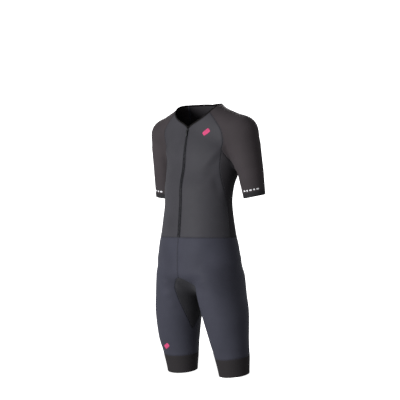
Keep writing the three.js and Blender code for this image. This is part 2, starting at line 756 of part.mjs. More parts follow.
function sliderGeometry() {
  const plate = extruded(sliderShape(), SLIDER.thick);
  const side = new THREE.Shape();
  side.moveTo(-BRIDGE.long / 2, 0);
  side.lineTo(BRIDGE.long / 2, 0);
  side.lineTo(BRIDGE.long / 2 - BRIDGE.slant, BRIDGE.reach);
  side.lineTo(-BRIDGE.long / 2 + BRIDGE.slant, BRIDGE.reach);
  side.closePath();
  const hole = new THREE.Path();
  const inner = BRIDGE.long / 2 - BRIDGE.bar;
  const under = inner - BRIDGE.slant / 2;
  hole.moveTo(-inner, BRIDGE.floor);
  hole.lineTo(-under, BRIDGE.reach - BRIDGE.bar);
  hole.lineTo(under, BRIDGE.reach - BRIDGE.bar);
  hole.lineTo(inner, BRIDGE.floor);
  hole.closePath();
  side.holes.push(hole);
  const bridge = extruded(side, BRIDGE.wide);
  bridge.translate(0, 0, -BRIDGE.wide / 2);
  bridge.rotateX(Math.PI / 2);
  bridge.rotateZ(Math.PI / 2);
  bridge.translate(0, 0, bridgeFoot);
  return toGeometry(toSolid(plate).add(toSolid(bridge)));
}

function pullGeometry() {
  const { wide, waist, tip, long, slot_wide: slotWide, slot_long: slotLong, bar } = PULL;
  const outline = new THREE.Shape();
  const end = -long + tip / 2;
  const shoulder = -slotLong - bar;
  outline.moveTo(-wide / 2, bar / 2);
  outline.lineTo(wide / 2, bar / 2);
  outline.lineTo(wide / 2, shoulder);
  outline.lineTo(waist / 2, shoulder - PULL.taper);
  outline.lineTo(tip / 2, end);
  outline.absarc(0, end, tip / 2, 0, -Math.PI, true);
  outline.lineTo(-waist / 2, shoulder - PULL.taper);
  outline.lineTo(-wide / 2, shoulder);
  outline.closePath();
  const slot = new THREE.Path();
  slot.moveTo(-slotWide / 2, -bar / 2);
  slot.lineTo(-slotWide / 2, -bar / 2 - slotLong);
  slot.lineTo(slotWide / 2, -bar / 2 - slotLong);
  slot.lineTo(slotWide / 2, -bar / 2);
  slot.closePath();
  outline.holes.push(slot);
  const tab = extruded(outline, PULL.thick);
  tab.translate(0, 0, hingeHeight - PULL.thick / 2);
  return tab;
}

// The slider stands on the chain, leaning with the chest
function sliderGroup() {
  const z = neckFront[0].z - SLIDER.below_neck;
  const seat = besideZip(0, z);
  const lower = besideZip(0, z - PULL.long);
  const upper = seat.clone().sub(lower).normalize();
  const out = new THREE.Vector3(1, 0, 0).cross(upper).normalize();
  const group = new THREE.Group();
  group.matrixAutoUpdate = false;
  seat.addScaledVector(out, CHAIN_PROUD + SEAM_GAP);
  group.matrix.makeBasis(new THREE.Vector3(1, 0, 0), upper, out).setPosition(seat);
  group.matrixWorldNeedsUpdate = true;
  group.add(mesh('zip_slider', sliderGeometry(), FINISH.metal));
  group.add(mesh('zip_pull', pullGeometry(), FINISH.metal));
  return group;
}

function buildSuit() {
  const suit = new THREE.Group();
  const sleeve = sleeveGrid();
  const frames = legFrames();
  const shorts = shortsGrid(frames);
  suit.add(...pair('front', frontGrid(), FINISH.front));
  suit.add(cloth('back', backGrids(), FINISH.back));
  suit.add(...pair('sleeve', sleeve.rows, FINISH.sleeve));
  const bandReaches = levels(SLEEVE_BAND_DEPTH, 0, STEPS.sleeve_band);
  const armFrames = bandReaches.map((reach) => frame(alongArm(reach), armAxis));
  suit.add(...pair('sleeve_band', bandGrid(armFrames, sleeve.seamTurn, STEPS.sleeve_round), FINISH.band));
  suit.add(...pair('shorts', shorts.rows, FINISH.shorts));
  suit.add(cloth('gusset', [gussetGrid()], FINISH.gusset));
  const bandFrames = levels(LEG_BAND_DEPTH, 0, STEPS.leg_band).map((reach) => (
    frame(hemFrame.middle.clone().addScaledVector(hemFrame.up, reach), hemFrame.up)
  ));
  suit.add(...pair('leg_band', bandGrid(bandFrames, shorts.seamTurn, STEPS.shorts_round), FINISH.band));
  suit.add(binding());
  const stopTop = WAIST_LEVEL + STOP.tall;
  const zipTop = neckFront[0].z;
  const inner = CHAIN_HALF_WIDTH;
  const outer = ZIP_HALF_WIDTH;
  suit.add(zipStrip('zip_tape_left', inner, outer, stopTop, zipTop, TAPE_WALL, 0));
  suit.add(zipStrip('zip_tape_right', -inner, -outer, stopTop, zipTop, TAPE_WALL, 0));
  suit.add(zipStrip('zip_chain', -inner, inner, stopTop, zipTop, CHAIN_WALL, CHAIN_PROUD));
  suit.add(zipStop());
  suit.add(sliderGroup());
  return suit;
}

export default buildSuit();
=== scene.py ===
import math

import bmesh
import bpy
import numpy as np
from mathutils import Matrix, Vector


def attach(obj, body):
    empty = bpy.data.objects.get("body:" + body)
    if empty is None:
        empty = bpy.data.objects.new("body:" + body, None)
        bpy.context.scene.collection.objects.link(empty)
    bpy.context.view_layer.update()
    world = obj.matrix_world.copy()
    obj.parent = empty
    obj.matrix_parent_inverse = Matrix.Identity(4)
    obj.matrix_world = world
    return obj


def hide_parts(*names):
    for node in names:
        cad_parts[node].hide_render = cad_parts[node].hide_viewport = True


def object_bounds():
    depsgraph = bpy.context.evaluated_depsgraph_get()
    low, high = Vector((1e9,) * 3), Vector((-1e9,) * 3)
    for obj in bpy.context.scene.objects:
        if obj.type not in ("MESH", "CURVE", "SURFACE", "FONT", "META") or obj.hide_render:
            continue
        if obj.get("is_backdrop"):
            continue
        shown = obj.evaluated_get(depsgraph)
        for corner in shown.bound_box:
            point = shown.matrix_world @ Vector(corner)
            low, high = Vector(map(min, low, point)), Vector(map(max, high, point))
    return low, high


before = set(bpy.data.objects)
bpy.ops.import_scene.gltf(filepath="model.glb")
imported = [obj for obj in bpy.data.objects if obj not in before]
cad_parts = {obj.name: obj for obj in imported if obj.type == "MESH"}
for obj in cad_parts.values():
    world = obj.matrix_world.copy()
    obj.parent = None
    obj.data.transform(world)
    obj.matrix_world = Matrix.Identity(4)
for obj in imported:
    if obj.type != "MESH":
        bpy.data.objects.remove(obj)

bl_info = {
    "name": "Triathlon suit",
    "version": (1, 0, 0),
    "blender": (4, 5, 0),
    "location": "View3D > Sidebar > Suit",
    "description": "Dresses the solids of a short-sleeved triathlon suit in cloth, seams and a zip",
    "category": "Add Mesh",
}

# The form's tables are in millimetres, as in the solids' source, and pieces are made in metres
MM = 0.001
WAIST_LEVEL = -463.0
SLEEVE_BAND_DEPTH = 16.0
LEG_BAND_DEPTH = 65.0
ZIP_HALF_WIDTH = 5.5
CHAIN_HALF_WIDTH = 1.9
STOP_TALL = 4.0
SEAM_HALF_GAP = 0.15
MITRE_LEAST = 0.35

# How points are set on the form: rounds of settling, and steps, step and halvings of a cast
SETTLE_ROUNDS = 9
SLOPE_LEAST = 0.2
CAST_STEPS = 80
CAST_STEP = 5
CAST_HALVINGS = 16
SPLINE_STEPS = 60

# Steps of the cloth's grids, each with FINE parts, and of the long lines of seams and stitches
FINE = 4
STEPS = {
    "neck_front": 8 * FINE, "raglan": 6 * FINE, "underarm": 3 * FINE, "neck_back": 8 * FINE,
    "side": 10 * FINE, "sleeve_round": 18 * FINE, "sleeve_down": 6 * FINE, "shorts_round": 20 * FINE,
    "hip": 7 * FINE, "arch": 8 * FINE, "inseam": 5 * FINE, "gusset": 6 * FINE, "leg_band": 14,
    "sleeve_band": 4, "binding_round": 12,
}
WAIST_STEPS = 240
NECK_STEPS = 260
RING_STEPS = 160
SLEEVE_RING_STEPS = 120
CENTRE_FRONT_STEPS = 50
CENTRE_BACK_STEPS = 60
INNER_SEAM_STEPS = 24

# Flat strips under the cloth: half width, and the depths of the near and the far face
ALLOWANCE_STRIP = (2.8, 1.3, 1.75)
THREAD_STRIP = (0.27, 0.12, 1.25)
FACING_STRIP = (2.2, 1.3, 1.75)
GUARD_STRIP = (9.0, 1.85, 2.5)

# Stitches: how far the rows lie from their seams, and the size of a stitch
SEAM_STITCHES = 2.4
CENTRE_STITCHES = 2.2
CENTRE_STITCHES_SHORT = (4, 3)
NECK_STITCHES = -2.0
LEG_HEM_STITCHES = (2.0, 5.5)
SLEEVE_HEM_STITCHES = (1.8, 4.6)
STITCH_SHARE = 0.72
STITCH_WIDTH = 0.5
STITCH_PROUD = 0.16
STITCH_FLATNESS = 2.4

# Sections of a stitch: place along it, and shares of its width and of its height
STITCH_PARTS = ((-0.5, 0.35, -0.35), (-0.2, 1, 1), (0.2, 1, 1), (0.5, 0.35, -0.35))

# Zip: points of the tapes down and across, and how far the guard, stitches and teeth stop short or
# go past the zip's ends
TAPE_ROWS = 121
TAPE_COLUMNS = 5
GUARD_STEPS = 140
GUARD_PAST_BOTTOM = 3
GUARD_SHORT_OF_TOP = 1
ZIP_STITCH_STEPS = 120
ZIP_STITCHES_SHORT = 2
TEETH_SHORT = 0.6

# Teeth of the zip: how many, and the parts of a tooth as place outward, half height, low and high
TEETH = 300
TOOTH_PARTS = ((1.75, 0.40, -0.9, 0.55), (0.9, 0.45, -0.9, 0.85), (-0.55, 0.40, -0.9, 0.7))

# Binding of the neckline: how far inward and how deep it lies, and its half sizes
BINDING_IN = 2.15
BINDING_DEEP = 0.4
BINDING_HALF_WIDE = 2.0
BINDING_HALF_THICK = 1.2
BINDING_ROUND = 0.7
NECK_MIDDLE = np.array([0.0, 10.0, 40.0])

# Prints: lift off the cloth and depth of the edge. A bar has its middle, the way across it, its half
# width, half height and roundness
PRINT_LIFT = 0.32
PRINT_EDGE = 0.3
PRINT_RINGS = 5
PRINT_ROUND = 40
CHEST_BAR = ((78, -56, -96), (1.0, 0.25, 0.75), 14.5, 7.5, 0.4)
THIGH_BAR = ((-123, -46, -861), (1.0, 0.1, 0.75), 13.5, 7.5, 0.4)
DASH_HALF_WIDTHS = (4.6, 2.8, 4.6, 2.8, 4.6)
DASH_HALF_GAP = 2.4
DASH_HALF_TALL = 2.6
DASH_ROUNDNESS = 0.35
DASH_START = -1.95
DASH_RISE = 9
SLEEVE_RADIUS = 39

# Stage, in metres: reach, bend and wall of the paper, its glow, and the light all round
PAPER_REACH = 6.0
PAPER_BEND = 2.0
PAPER_WALL = 9.0
PAPER_GLOW = 1.1
SKY_STRENGTH = 0.95

# Lamps: turn from the view in degrees, distance, height, size and watts
LAMPS = {"key": (-48, 3.6, -0.3, 1.5, 430), "back": (176, 3.4, 1.2, 2.4, 320)}
LAMP_AIM = Vector((0, 0, -0.5))

# Level sections of the trunk: height, half width, half depth and place of the middle
TRUNK = np.array([
    (60, 60, 58, 10), (0, 74, 62, 19), (-40, 96, 78, 32), (-85, 130, 91, 33), (-156, 152, 104, 31),
    (-226, 144, 103, 22), (-286, 137, 100, 4), (-344, 133, 98, 0), (-443, 147, 106, 0),
    (-500, 158, 115, 2), (-570, 161, 120, 6), (-640, 166, 124, 14),
], dtype=float)
TRUNK_WIDE, TRUNK_DEEP, TRUNK_MID = 1, 2, 3
FORK_START = -585.0
FORK_END = -668.0

# Level sections of the left leg: height, place across and along, half width, half depth, turn
LEG = np.array([
    (-560, 82, 9, 77, 108, 0), (-620, 89, 12, 78, 106, 0), (-665, 95, 14, 80, 100, 0),
    (-726, 106, 18, 82, 88, 0), (-825, 115, 30, 70, 74, 30), (-878, 117, 42, 63, 64.5, 30),
    (-945, 119, 53, 54.5, 54.5, 30), (-990, 121, 61, 54, 54, 30),
], dtype=float)
LEG_ACROSS, LEG_ALONG, LEG_WIDE, LEG_DEEP, LEG_TURN = 1, 2, 3, 4, 5
LEG_TOP_START = -605.0
LEG_TOP_RISE = 100.0

# Balls that carry the left shoulder and arm: place and radius
SHOULDER = np.array([(50, 12, -49, 57), (170, 30, -97, 57)], dtype=float)
ARM = np.array([
    (170, 30, -97, 57), (178, 37, -145, 57), (194, 50, -232, 46), (203, 61, -321, 39),
    (214, 72, -400, 36),
], dtype=float)
SLEEVE_HEM = ARM[3, :3]
LEG_HEM = -945.0
BLEND_LEG, BLEND_FORK, BLEND_SHOULDER, BLEND_ARM = 18.0, 34.0, 36.0, 12.0
SLEEVE_TURN = 236.0
SLEEVE_HEAD = np.array([84.0, 12.0, -58.0])
HIP_MIDDLE = 66.0
LIMB_REACH = 95.0

# Tight places where the cloth is evened out: the underarm's reach, and the fork's place and reach
UNDERARM_REACH = 42.0
FORK_PLACE = np.array([22.0, -50.0, -670.0])
FORK_REACH = 60.0
EVEN_PASSES = 24
EVEN_LEAST = 0.02
BRIDGE_PASSES = 8

# Seams of the left half as places across, along and up, set on the form afterwards
NECKLINE = np.array([
    (0, -56, -82), (22, -46, -69), (45, -45, -56), (64, -42, -43), (79, -32, -28), (87, -10, -11),
    (88, 12, -1), (80, 40, 5), (56, 64, 7), (0, 80, 5),
], dtype=float)
RAGLAN_FRONT = np.array([
    (79, -32, -28), (94, -34, -42), (110, -35, -60), (130, -34, -90), (131, -20, -125),
    (123, -24, -159),
], dtype=float)
ARMHOLE_FRONT = np.array([
    (123, -24, -159), (134, -13, -180), (142, 7, -200), (144, 28, -217), (146, 46, -228),
], dtype=float)
ARMHOLE_BACK = np.array([
    (80, 40, 5), (97, 70, -28), (116, 90, -70), (131, 98, -115), (140, 87, -155), (141, 75, -181),
    (143, 62, -207), (146, 46, -228),
], dtype=float)

# The side seam's rows give the height first, then the places across and along
SIDE_SEAM = np.array([
    (-159, 123, -24), (-208, 125, -31), (-265, 131, -28), (-312, 136, -13), (-368, 136, -2),
    (-463, 148, -9),
], dtype=float)
SIDE_ACROSS, SIDE_ALONG = 1, 2

# Seams of the gusset, and the line under the fork that its middle follows
ARCH_FRONT = np.array([
    (0, -110, -606), (18, -104, -614), (32, -90, -636), (40, -60, -680), (37, -34, -722),
    (33, -8, -762), (32, 12, -790),
], dtype=float)
ARCH_BACK = np.array([
    (0, 105, -636), (20, 104, -645), (36, 90, -668), (38, 60, -705), (34, 36, -750), (32, 12, -790),
], dtype=float)
FORK_LINE = np.array([(0, 10, -668), (16, 12, -690), (25, 14, -730), (32, 12, -790)], dtype=float)


def both_sides(rows):
    """Rows of folds of the left half, each followed by its mirror image."""
    paired = []
    for first, second, height, spread in rows:
        paired.append((first, second, height, spread))
        paired.append(((-first[0], *first[1:]), (-second[0], *second[1:]), height, spread))
    return paired


# Share of a fold's length over which it fades at each end
FOLD_FADE = 0.12

# Soft folds of the cloth, which the solids have too: both ends, height and spread
FOLDS = [
    ((138, -20, -140), (84, -70, -205), 3.5, 11),
    ((134, -24, -176), (92, -68, -232), -3, 12),
    ((-138, -20, -142), (-80, -72, -196), 3, 11),
    ((-132, -24, -180), (-96, -66, -226), -3, 12),
    ((116, -46, -252), (122, -42, -306), -3, 13),
    ((-116, -46, -248), (-124, -40, -300), -3, 13),
    ((40, -92, -332), (118, -50, -322), 2, 9),
    ((-30, -94, -340), (-112, -56, -330), 2, 9),
    ((60, 92, -330), (-60, 92, -338), 2.5, 12),
    ((84, 84, -372), (-20, 98, -380), -2.5, 12),
] + both_sides([
    ((132, 92, -176), (84, 128, -236), 3, 13),
    ((20, -100, -640), (100, -92, -614), 2.5, 11),
    ((40, 118, -676), (110, 112, -690), -3.5, 13),
])

# Finer creases of the cloth alone: both ends, height before it is deepened, and spread
CREASE_DEPTH = 1.6
CREASES = [
    ((128, -32, -118), (96, -60, -150), 1.4, 7),
    ((126, -34, -150), (74, -76, -178), 1.2, 7),
    ((122, -40, -196), (60, -86, -214), 1.3, 8),
    ((120, -42, -222), (82, -72, -262), -1.3, 8),
    ((-128, -32, -120), (-92, -62, -152), 1.3, 7),
    ((-124, -38, -160), (-70, -78, -186), 1.1, 7),
    ((-120, -42, -204), (-64, -84, -236), -1.2, 8),
    ((128, -30, -270), (74, -78, -286), 1.4, 8),
    ((130, -26, -300), (50, -90, -304), 1.2, 7),
    ((128, -20, -346), (66, -78, -352), 1.2, 8),
    ((-128, -26, -286), (-60, -86, -296), 1.3, 8),
    ((-128, -20, -352), (-50, -90, -362), 1.1, 8),
    ((112, -54, -390), (40, -98, -400), 0.9, 9),
    ((-112, -54, -396), (-36, -98, -410), 0.9, 9),
    ((150, 36, -180), (120, 70, -262), 1.5, 9),
    ((-150, 36, -180), (-120, 70, -262), 1.5, 9),
    ((120, 70, -292), (40, 100, -300), 1.5, 9),
    ((-120, 70, -288), (-36, 100, -306), 1.5, 9),
    ((110, 68, -350), (30, 98, -352), 1.4, 9),
    ((-110, 68, -352), (-24, 98, -360), 1.4, 9),
    ((90, 80, -396), (-60, 94, -404), 1.2, 10),
    ((60, 118, -110), (10, 130, -150), 1.2, 12),
    ((-60, 118, -110), (-10, 130, -150), 1.2, 12),
    ((160, -8, -176), (190, 10, -160), 1.5, 8),
    ((166, 0, -204), (204, 22, -190), 1.6, 8),
    ((172, 10, -232), (212, 30, -214), 1.3, 8),
    ((-160, -8, -178), (-190, 10, -162), 1.5, 8),
    ((-166, 0, -208), (-204, 22, -192), 1.6, 8),
    ((-172, 10, -236), (-212, 30, -218), 1.3, 8),
    ((176, 92, -190), (208, 84, -206), 1.5, 9),
    ((-176, 92, -192), (-208, 84, -208), 1.5, 9),
    ((178, 20, -268), (236, 60, -262), -0.9, 8),
    ((-178, 20, -270), (-236, 60, -264), -0.9, 8),
] + both_sides([
    ((24, -98, -656), (86, -96, -640), -1.6, 9),
    ((36, -88, -672), (92, -80, -664), 1.5, 8),
    ((44, -68, -708), (84, -62, -704), 1.3, 8),
    ((50, 108, -640), (130, 100, -646), 1.3, 10),
    ((44, 104, -712), (120, 102, -722), 1.6, 9),
    ((50, 98, -744), (110, 96, -752), -1.2, 9),
    ((80, 96, -820), (140, 98, -826), 1.1, 9),
])

# Wide soft ridges of the cloth alone that ease the trunk into the hips: both ends, height, spread
HIP_EASE = both_sides([
    ((119, -85, -546), (167, 15, -546), 4.6, 26),
    ((167, -7, -546), (119, 93, -546), 4.6, 26),
])


def level(table, column, z):
    """One column of a table at heights z, with a smooth curve through the rows."""
    heights = table[:, 0]
    values = table[:, column]
    at = np.clip(z, heights[-1], heights[0])
    row = np.clip(np.searchsorted(-heights, -at, side="left") - 1, 0, len(heights) - 2)
    slopes = np.empty(len(heights))
    slopes[1:-1] = (values[:-2] - values[2:]) / (heights[:-2] - heights[2:])
    slopes[0] = (values[0] - values[1]) / (heights[0] - heights[1])
    slopes[-1] = (values[-2] - values[-1]) / (heights[-2] - heights[-1])
    span = heights[row + 1] - heights[row]
    t = (at - heights[row]) / span
    ease = t * t * (3 - 2 * t)
    between = values[row] + (values[row + 1] - values[row]) * ease
    return between + span * (t * (1 - t) ** 2 * slopes[row] - t * t * (1 - t) * slopes[row + 1])


def join(a, b, softness):
    """Joins two forms with a soft fillet."""
    near = np.maximum(softness - np.abs(a - b), 0) / softness
    return np.minimum(a, b) - near * near * softness / 4


def trunk_form(p):
    """The trunk's own form: below 0 inside it."""
    wide = level(TRUNK, TRUNK_WIDE, p[..., 2])
    deep = level(TRUNK, TRUNK_DEEP, p[..., 2])
    off = p[..., 1] - level(TRUNK, TRUNK_MID, p[..., 2])
    size = np.sqrt(wide * deep)
    below = np.maximum(FORK_START - p[..., 2], 0) / (FORK_START - FORK_END)
    return (np.hypot(p[..., 0] / wide, off / deep) - 1) * size + below * below * size


def leg_form(p, side):
    """One leg's own form, on the left for side 1 and on the right for side -1."""
    z = p[..., 2]
    turn = np.radians(level(LEG, LEG_TURN, z))
    x = side * p[..., 0] - level(LEG, LEG_ACROSS, z)
    y = p[..., 1] - level(LEG, LEG_ALONG, z)
    wide = level(LEG, LEG_WIDE, z)
    deep = level(LEG, LEG_DEEP, z)
    across = x * np.cos(turn) + y * np.sin(turn)
    along = y * np.cos(turn) - x * np.sin(turn)
    above = np.maximum(z - LEG_TOP_START, 0) / LEG_TOP_RISE
    return (np.hypot(across / wide, along / deep) - 1) * np.sqrt(wide * deep) + above * above * wide


def limb_form(p, balls, side):
    """A row of balls, each joined to the next by a cone."""
    here = p * np.array([side, 1.0, 1.0])
    nearest = np.full(p.shape[:-1], np.inf)
    for first, second in zip(balls[:-1], balls[1:]):
        along = second[:3] - first[:3]
        t = np.clip((here - first[:3]) @ along / (along @ along), 0, 1)
        radius = first[3] + (second[3] - first[3]) * t
        reach = np.linalg.norm(here - first[:3] - t[..., None] * along, axis=-1)
        nearest = np.minimum(nearest, reach - radius)
    return nearest


def form(p):
    """Below 0 inside the form that the cloth lies on, and above 0 outside it."""
    legs = join(leg_form(p, 1), leg_form(p, -1), BLEND_FORK)
    body = join(trunk_form(p), legs, BLEND_LEG)
    for side in (1, -1):
        body = join(body, limb_form(p, SHOULDER, side), BLEND_SHOULDER)
        body = join(body, limb_form(p, ARM, side), BLEND_ARM)
    return body


def steepest(p):
    """How the form grows along each axis."""
    step = 0.5
    slope = np.empty(p.shape)
    for axis in range(3):
        move = np.zeros(3)
        move[axis] = step
        slope[..., axis] = (form(p + move) - form(p - move)) / (2 * step)
    return slope


def unit(v):
    """The same ways, each 1 long."""
    return v / np.maximum(np.linalg.norm(v, axis=-1, keepdims=True), 1e-12)


def outward(p):
    """The ways straight out of the form."""
    return unit(steepest(p))


def settle(p):
    """Moves points straight onto the form."""
    placed = np.array(p, dtype=float)
    for _ in range(SETTLE_ROUNDS):
        slope = steepest(placed)
        steep = np.maximum(np.sum(slope * slope, axis=-1), SLOPE_LEAST)
        placed = placed - slope * (form(placed) / steep)[..., None]
    return placed


def cast(start, way):
    """First points of the form on lines that start inside it."""
    way = unit(np.asarray(way, dtype=float))
    start = np.broadcast_to(start, way.shape)
    inside = np.zeros(way.shape[:-1])
    outside = np.zeros(way.shape[:-1])
    for _ in range(CAST_STEPS):
        deep = form(start + way * outside[..., None]) < 0
        if not deep.any():
            break
        inside = np.where(deep, outside, inside)
        outside = np.where(deep, outside + CAST_STEP, outside)
    for _ in range(CAST_HALVINGS):
        middle = (inside + outside) / 2
        deep = form(start + way * middle[..., None]) < 0
        inside = np.where(deep, middle, inside)
        outside = np.where(deep, outside, middle)
    return start + way * outside[..., None]


def spline(points, steps):
    """A smooth line through points, cut into equal steps."""
    ends = np.vstack([2 * points[0] - points[1], points, 2 * points[-1] - points[-2]])
    dense = []
    for i in range(len(points) - 1):
        p0, p1, p2, p3 = ends[i:i + 4]
        d0, d1, d2 = (math.sqrt(np.linalg.norm(b - a)) for a, b in ((p0, p1), (p1, p2), (p2, p3)))
        t1 = ((p1 - p0) / d0 - (p2 - p0) / (d0 + d1) + (p2 - p1) / d1) * d1
        t2 = ((p2 - p1) / d1 - (p3 - p1) / (d1 + d2) + (p3 - p2) / d2) * d1
        t = np.linspace(0, 1, SPLINE_STEPS, endpoint=False)[:, None]
        dense.append(
            p1 + t1 * t + (3 * (p2 - p1) - 2 * t1 - t2) * t ** 2 + (2 * (p1 - p2) + t1 + t2) * t ** 3
        )
    dense = np.vstack(dense + [points[-1:]])
    return evenly(dense, steps)


def evenly(line, steps):
    """The same line with its points at equal steps."""
    lengths = np.concatenate([[0], np.cumsum(np.linalg.norm(np.diff(line, axis=0), axis=1))])
    at = np.linspace(0, lengths[-1], steps + 1)
    return np.stack([np.interp(at, lengths, line[:, axis]) for axis in range(3)], axis=1)


def seam(table, steps):
    """A seam line through a table's points, laid on the form."""
    return settle(spline(table, steps))


def mirrored(p):
    """The same points on the other side of the body."""
    return p * np.array([-1.0, 1.0, 1.0])


def relief(p):
    """How far the folds and creases lift the cloth at each point."""
    lift = np.zeros(p.shape[:-1])
    deeper = [(a, b, height * CREASE_DEPTH, spread) for a, b, height, spread in CREASES]
    for first, second, height, spread in FOLDS + deeper + HIP_EASE:
        start = np.array(first, dtype=float)
        along = np.array(second, dtype=float) - start
        held = np.clip((p - start) @ along / (along @ along), 0, 1)
        far = np.linalg.norm(p - start - held[..., None] * along, axis=-1) / spread
        lift += height * np.exp(-far * far) * np.sin(np.pi * (FOLD_FADE + (1 - 2 * FOLD_FADE) * held))
    return lift


def trunk_point(turn, z):
    """Points of the trunk at levels z, in the direction of a turn from straight ahead."""
    turn, z = np.broadcast_arrays(np.asarray(turn, dtype=float), np.asarray(z, dtype=float))
    middle = np.stack([np.zeros_like(z), level(TRUNK, TRUNK_MID, z), z], axis=-1)
    return cast(middle, np.stack([np.sin(turn), -np.cos(turn), np.zeros_like(z)], axis=-1))


def turn_of(p):
    """The turn of points round the trunk, from straight ahead."""
    return np.arctan2(p[..., 0], level(TRUNK, TRUNK_MID, p[..., 2]) - p[..., 1])


def beside_zip(x, z):
    """Points of the front at places beside the zip."""
    x, z = np.broadcast_arrays(np.asarray(x, dtype=float), np.asarray(z, dtype=float))
    middle = np.stack([x, level(TRUNK, TRUNK_MID, z), z], axis=-1)
    return settle(cast(middle, np.broadcast_to([0.0, -1.0, 0.0], middle.shape)))


def filled(bottom, top, first, last):
    """Fills the space between four edges, by turn and height, with points of the trunk."""
    def place(p):
        turn = turn_of(p)
        back_middle = (np.abs(p[:, 0]) < 1e-6) & (p[:, 1] > 0)
        return np.stack([np.where(back_middle, np.pi, turn), p[:, 2]], axis=-1)

    low, high, start, end = (place(edge) for edge in (bottom, top, first, last))
    u = np.linspace(0, 1, len(low))[None, :, None]
    v = np.linspace(0, 1, len(start))[:, None, None]
    across = low[None] * (1 - v) + high[None] * v
    along = start[:, None] * (1 - u) + end[:, None] * u
    corners = (low[0] * (1 - u) + low[-1] * u) * (1 - v) + (high[0] * (1 - u) + high[-1] * u) * v
    at = across + along - corners
    grid = trunk_point(at[..., 0], at[..., 1])
    grid[0], grid[-1], grid[:, 0], grid[:, -1] = bottom, top, first, last
    return grid


def limb_frame(middle, rising):
    """A frame on a limb: its middle, up the limb, back and out."""
    up = unit(np.asarray(rising, dtype=float))
    back = unit(np.array([0.0, 1.0, 0.0]) - up * up[1])
    return np.asarray(middle, dtype=float), up, back, np.cross(back, up)


def turn_about(place, p):
    """The turn of a point round a limb, and how far it leans up the limb."""
    middle, up, back, out = place
    way = p - middle
    return math.atan2(way @ back, way @ out), (way @ up) / math.hypot(way @ out, way @ back)


def ways_round(place, turns, leans):
    """Ways out of a limb's frame at the given turns and leans."""
    _, up, back, out = place
    flat = np.cos(turns)[:, None] * out + np.sin(turns)[:, None] * back
    return flat + np.asarray(leans)[:, None] * up


def row_ways(place, front, back, steps):
    """Ways round a limb, outside, from its front edge to its back edge."""
    start, start_lean = turn_about(place, front)
    end, end_lean = turn_about(place, back)
    start -= 2 * math.pi * (start > 0)
    end += 2 * math.pi * (end < 0)
    share = np.linspace(0, 1, steps + 1)
    return ways_round(place, start + (end - start) * share, start_lean + (end_lean - start_lean) * share)


def ring_ways(place, seam_turn, steps):
    """Ways of a whole ring round a limb, which starts and ends at its seam."""
    turns = np.linspace(seam_turn - 2 * math.pi, seam_turn, steps + 1)
    return ways_round(place, turns, np.zeros(steps + 1))


def cast_rows(places, ways):
    """Rows of points on the form, cast from the middles of limb frames."""
    starts = np.stack([place[0] for place in places])[:, None, :]
    ways = np.stack(ways)
    return cast(np.broadcast_to(starts, ways.shape), ways)


def mended(row, middle):
    """A row whose points that missed the limb are put back on the line of the others, evenly."""
    good = np.linalg.norm(row - middle, axis=-1) < LIMB_REACH
    good[[0, -1]] = True
    index = np.arange(len(row))
    line = np.stack([np.interp(index, index[good], row[good, k]) for k in range(3)], axis=1)
    even = settle(evenly(line, len(row) - 1))
    even[0], even[-1] = row[0], row[-1]
    return even


def evened(grid, middle, reach, passes, laid=True):
    """A grid whose inner points near a tight place are spread evenly, and laid on the form again."""
    share = np.exp(-(np.linalg.norm(grid - middle, axis=-1) / reach) ** 2)
    share[[0, -1]] = 0
    share[:, [0, -1]] = 0
    for _ in range(passes):
        around = grid[:-2, 1:-1] + grid[2:, 1:-1] + grid[1:-1, :-2] + grid[1:-1, 2:]
        grid = grid.copy()
        grid[1:-1, 1:-1] += (around / 4 - grid[1:-1, 1:-1]) * share[1:-1, 1:-1, None]
    if laid:
        near = share > EVEN_LEAST
        grid[near] = settle(grid[near])
    return grid


def positive(turn):
    """The same turn, from 0 upward."""
    return turn + 2 * math.pi if turn < 0 else turn


def leg_middle(z):
    """The middle of the left leg at a height."""
    return np.array([float(level(LEG, LEG_ACROSS, z)), float(level(LEG, LEG_ALONG, z)), float(z)])


HEM_FRAME = limb_frame(leg_middle(LEG_HEM), leg_middle(LEG_HEM + 40) - leg_middle(LEG_HEM))
ARM_AXIS = unit(ARM[1, :3] - SLEEVE_HEM)


def along_arm(reach):
    """A point on the left arm's axis, above the sleeve hem."""
    return SLEEVE_HEM + ARM_AXIS * reach


class Seams:
    """The seam lines that neighbouring pieces share."""

    def __init__(self):
        self.neck_front = seam(NECKLINE[:5], STEPS["neck_front"])
        self.neck_sleeve = seam(NECKLINE[4:8], STEPS["sleeve_round"])
        self.neck_back = seam(NECKLINE[7:], STEPS["neck_back"])
        self.raglan_front = seam(RAGLAN_FRONT, STEPS["raglan"])
        self.armhole_front = seam(ARMHOLE_FRONT, STEPS["underarm"])
        self.armhole_back = seam(ARMHOLE_BACK, STEPS["raglan"] + STEPS["underarm"])
        self.arch_front = seam(ARCH_FRONT, STEPS["arch"])
        self.arch_back = seam(ARCH_BACK, STEPS["arch"])
        self.fork_line = seam(FORK_LINE, STEPS["arch"])
        self.underarm = self.armhole_back[-1]
        self.armhole_front[-1] = self.underarm
        self.neck_front[-1] = self.neck_sleeve[0]
        self.neck_back[0] = self.neck_sleeve[-1]
        self.neck_front[0] = beside_zip(ZIP_HALF_WIDTH, self.neck_front[0, 2])
        self.raglan_front[0] = self.neck_sleeve[0]
        self.armhole_front[0] = self.raglan_front[-1]
        self.armhole_back[0] = self.neck_sleeve[-1]
        heights = np.linspace(WAIST_LEVEL, self.raglan_front[-1, 2], STEPS["side"] + 1)
        across = np.stack([
            level(SIDE_SEAM, SIDE_ACROSS, heights), level(SIDE_SEAM, SIDE_ALONG, heights), heights,
        ], axis=-1)
        self.side = trunk_point(turn_of(across), heights)
        self.side[-1] = self.raglan_front[-1]

    def waist(self, start, end, steps):
        """The waist seam between two turns."""
        return trunk_point(np.linspace(start, end, steps + 1), WAIST_LEVEL)


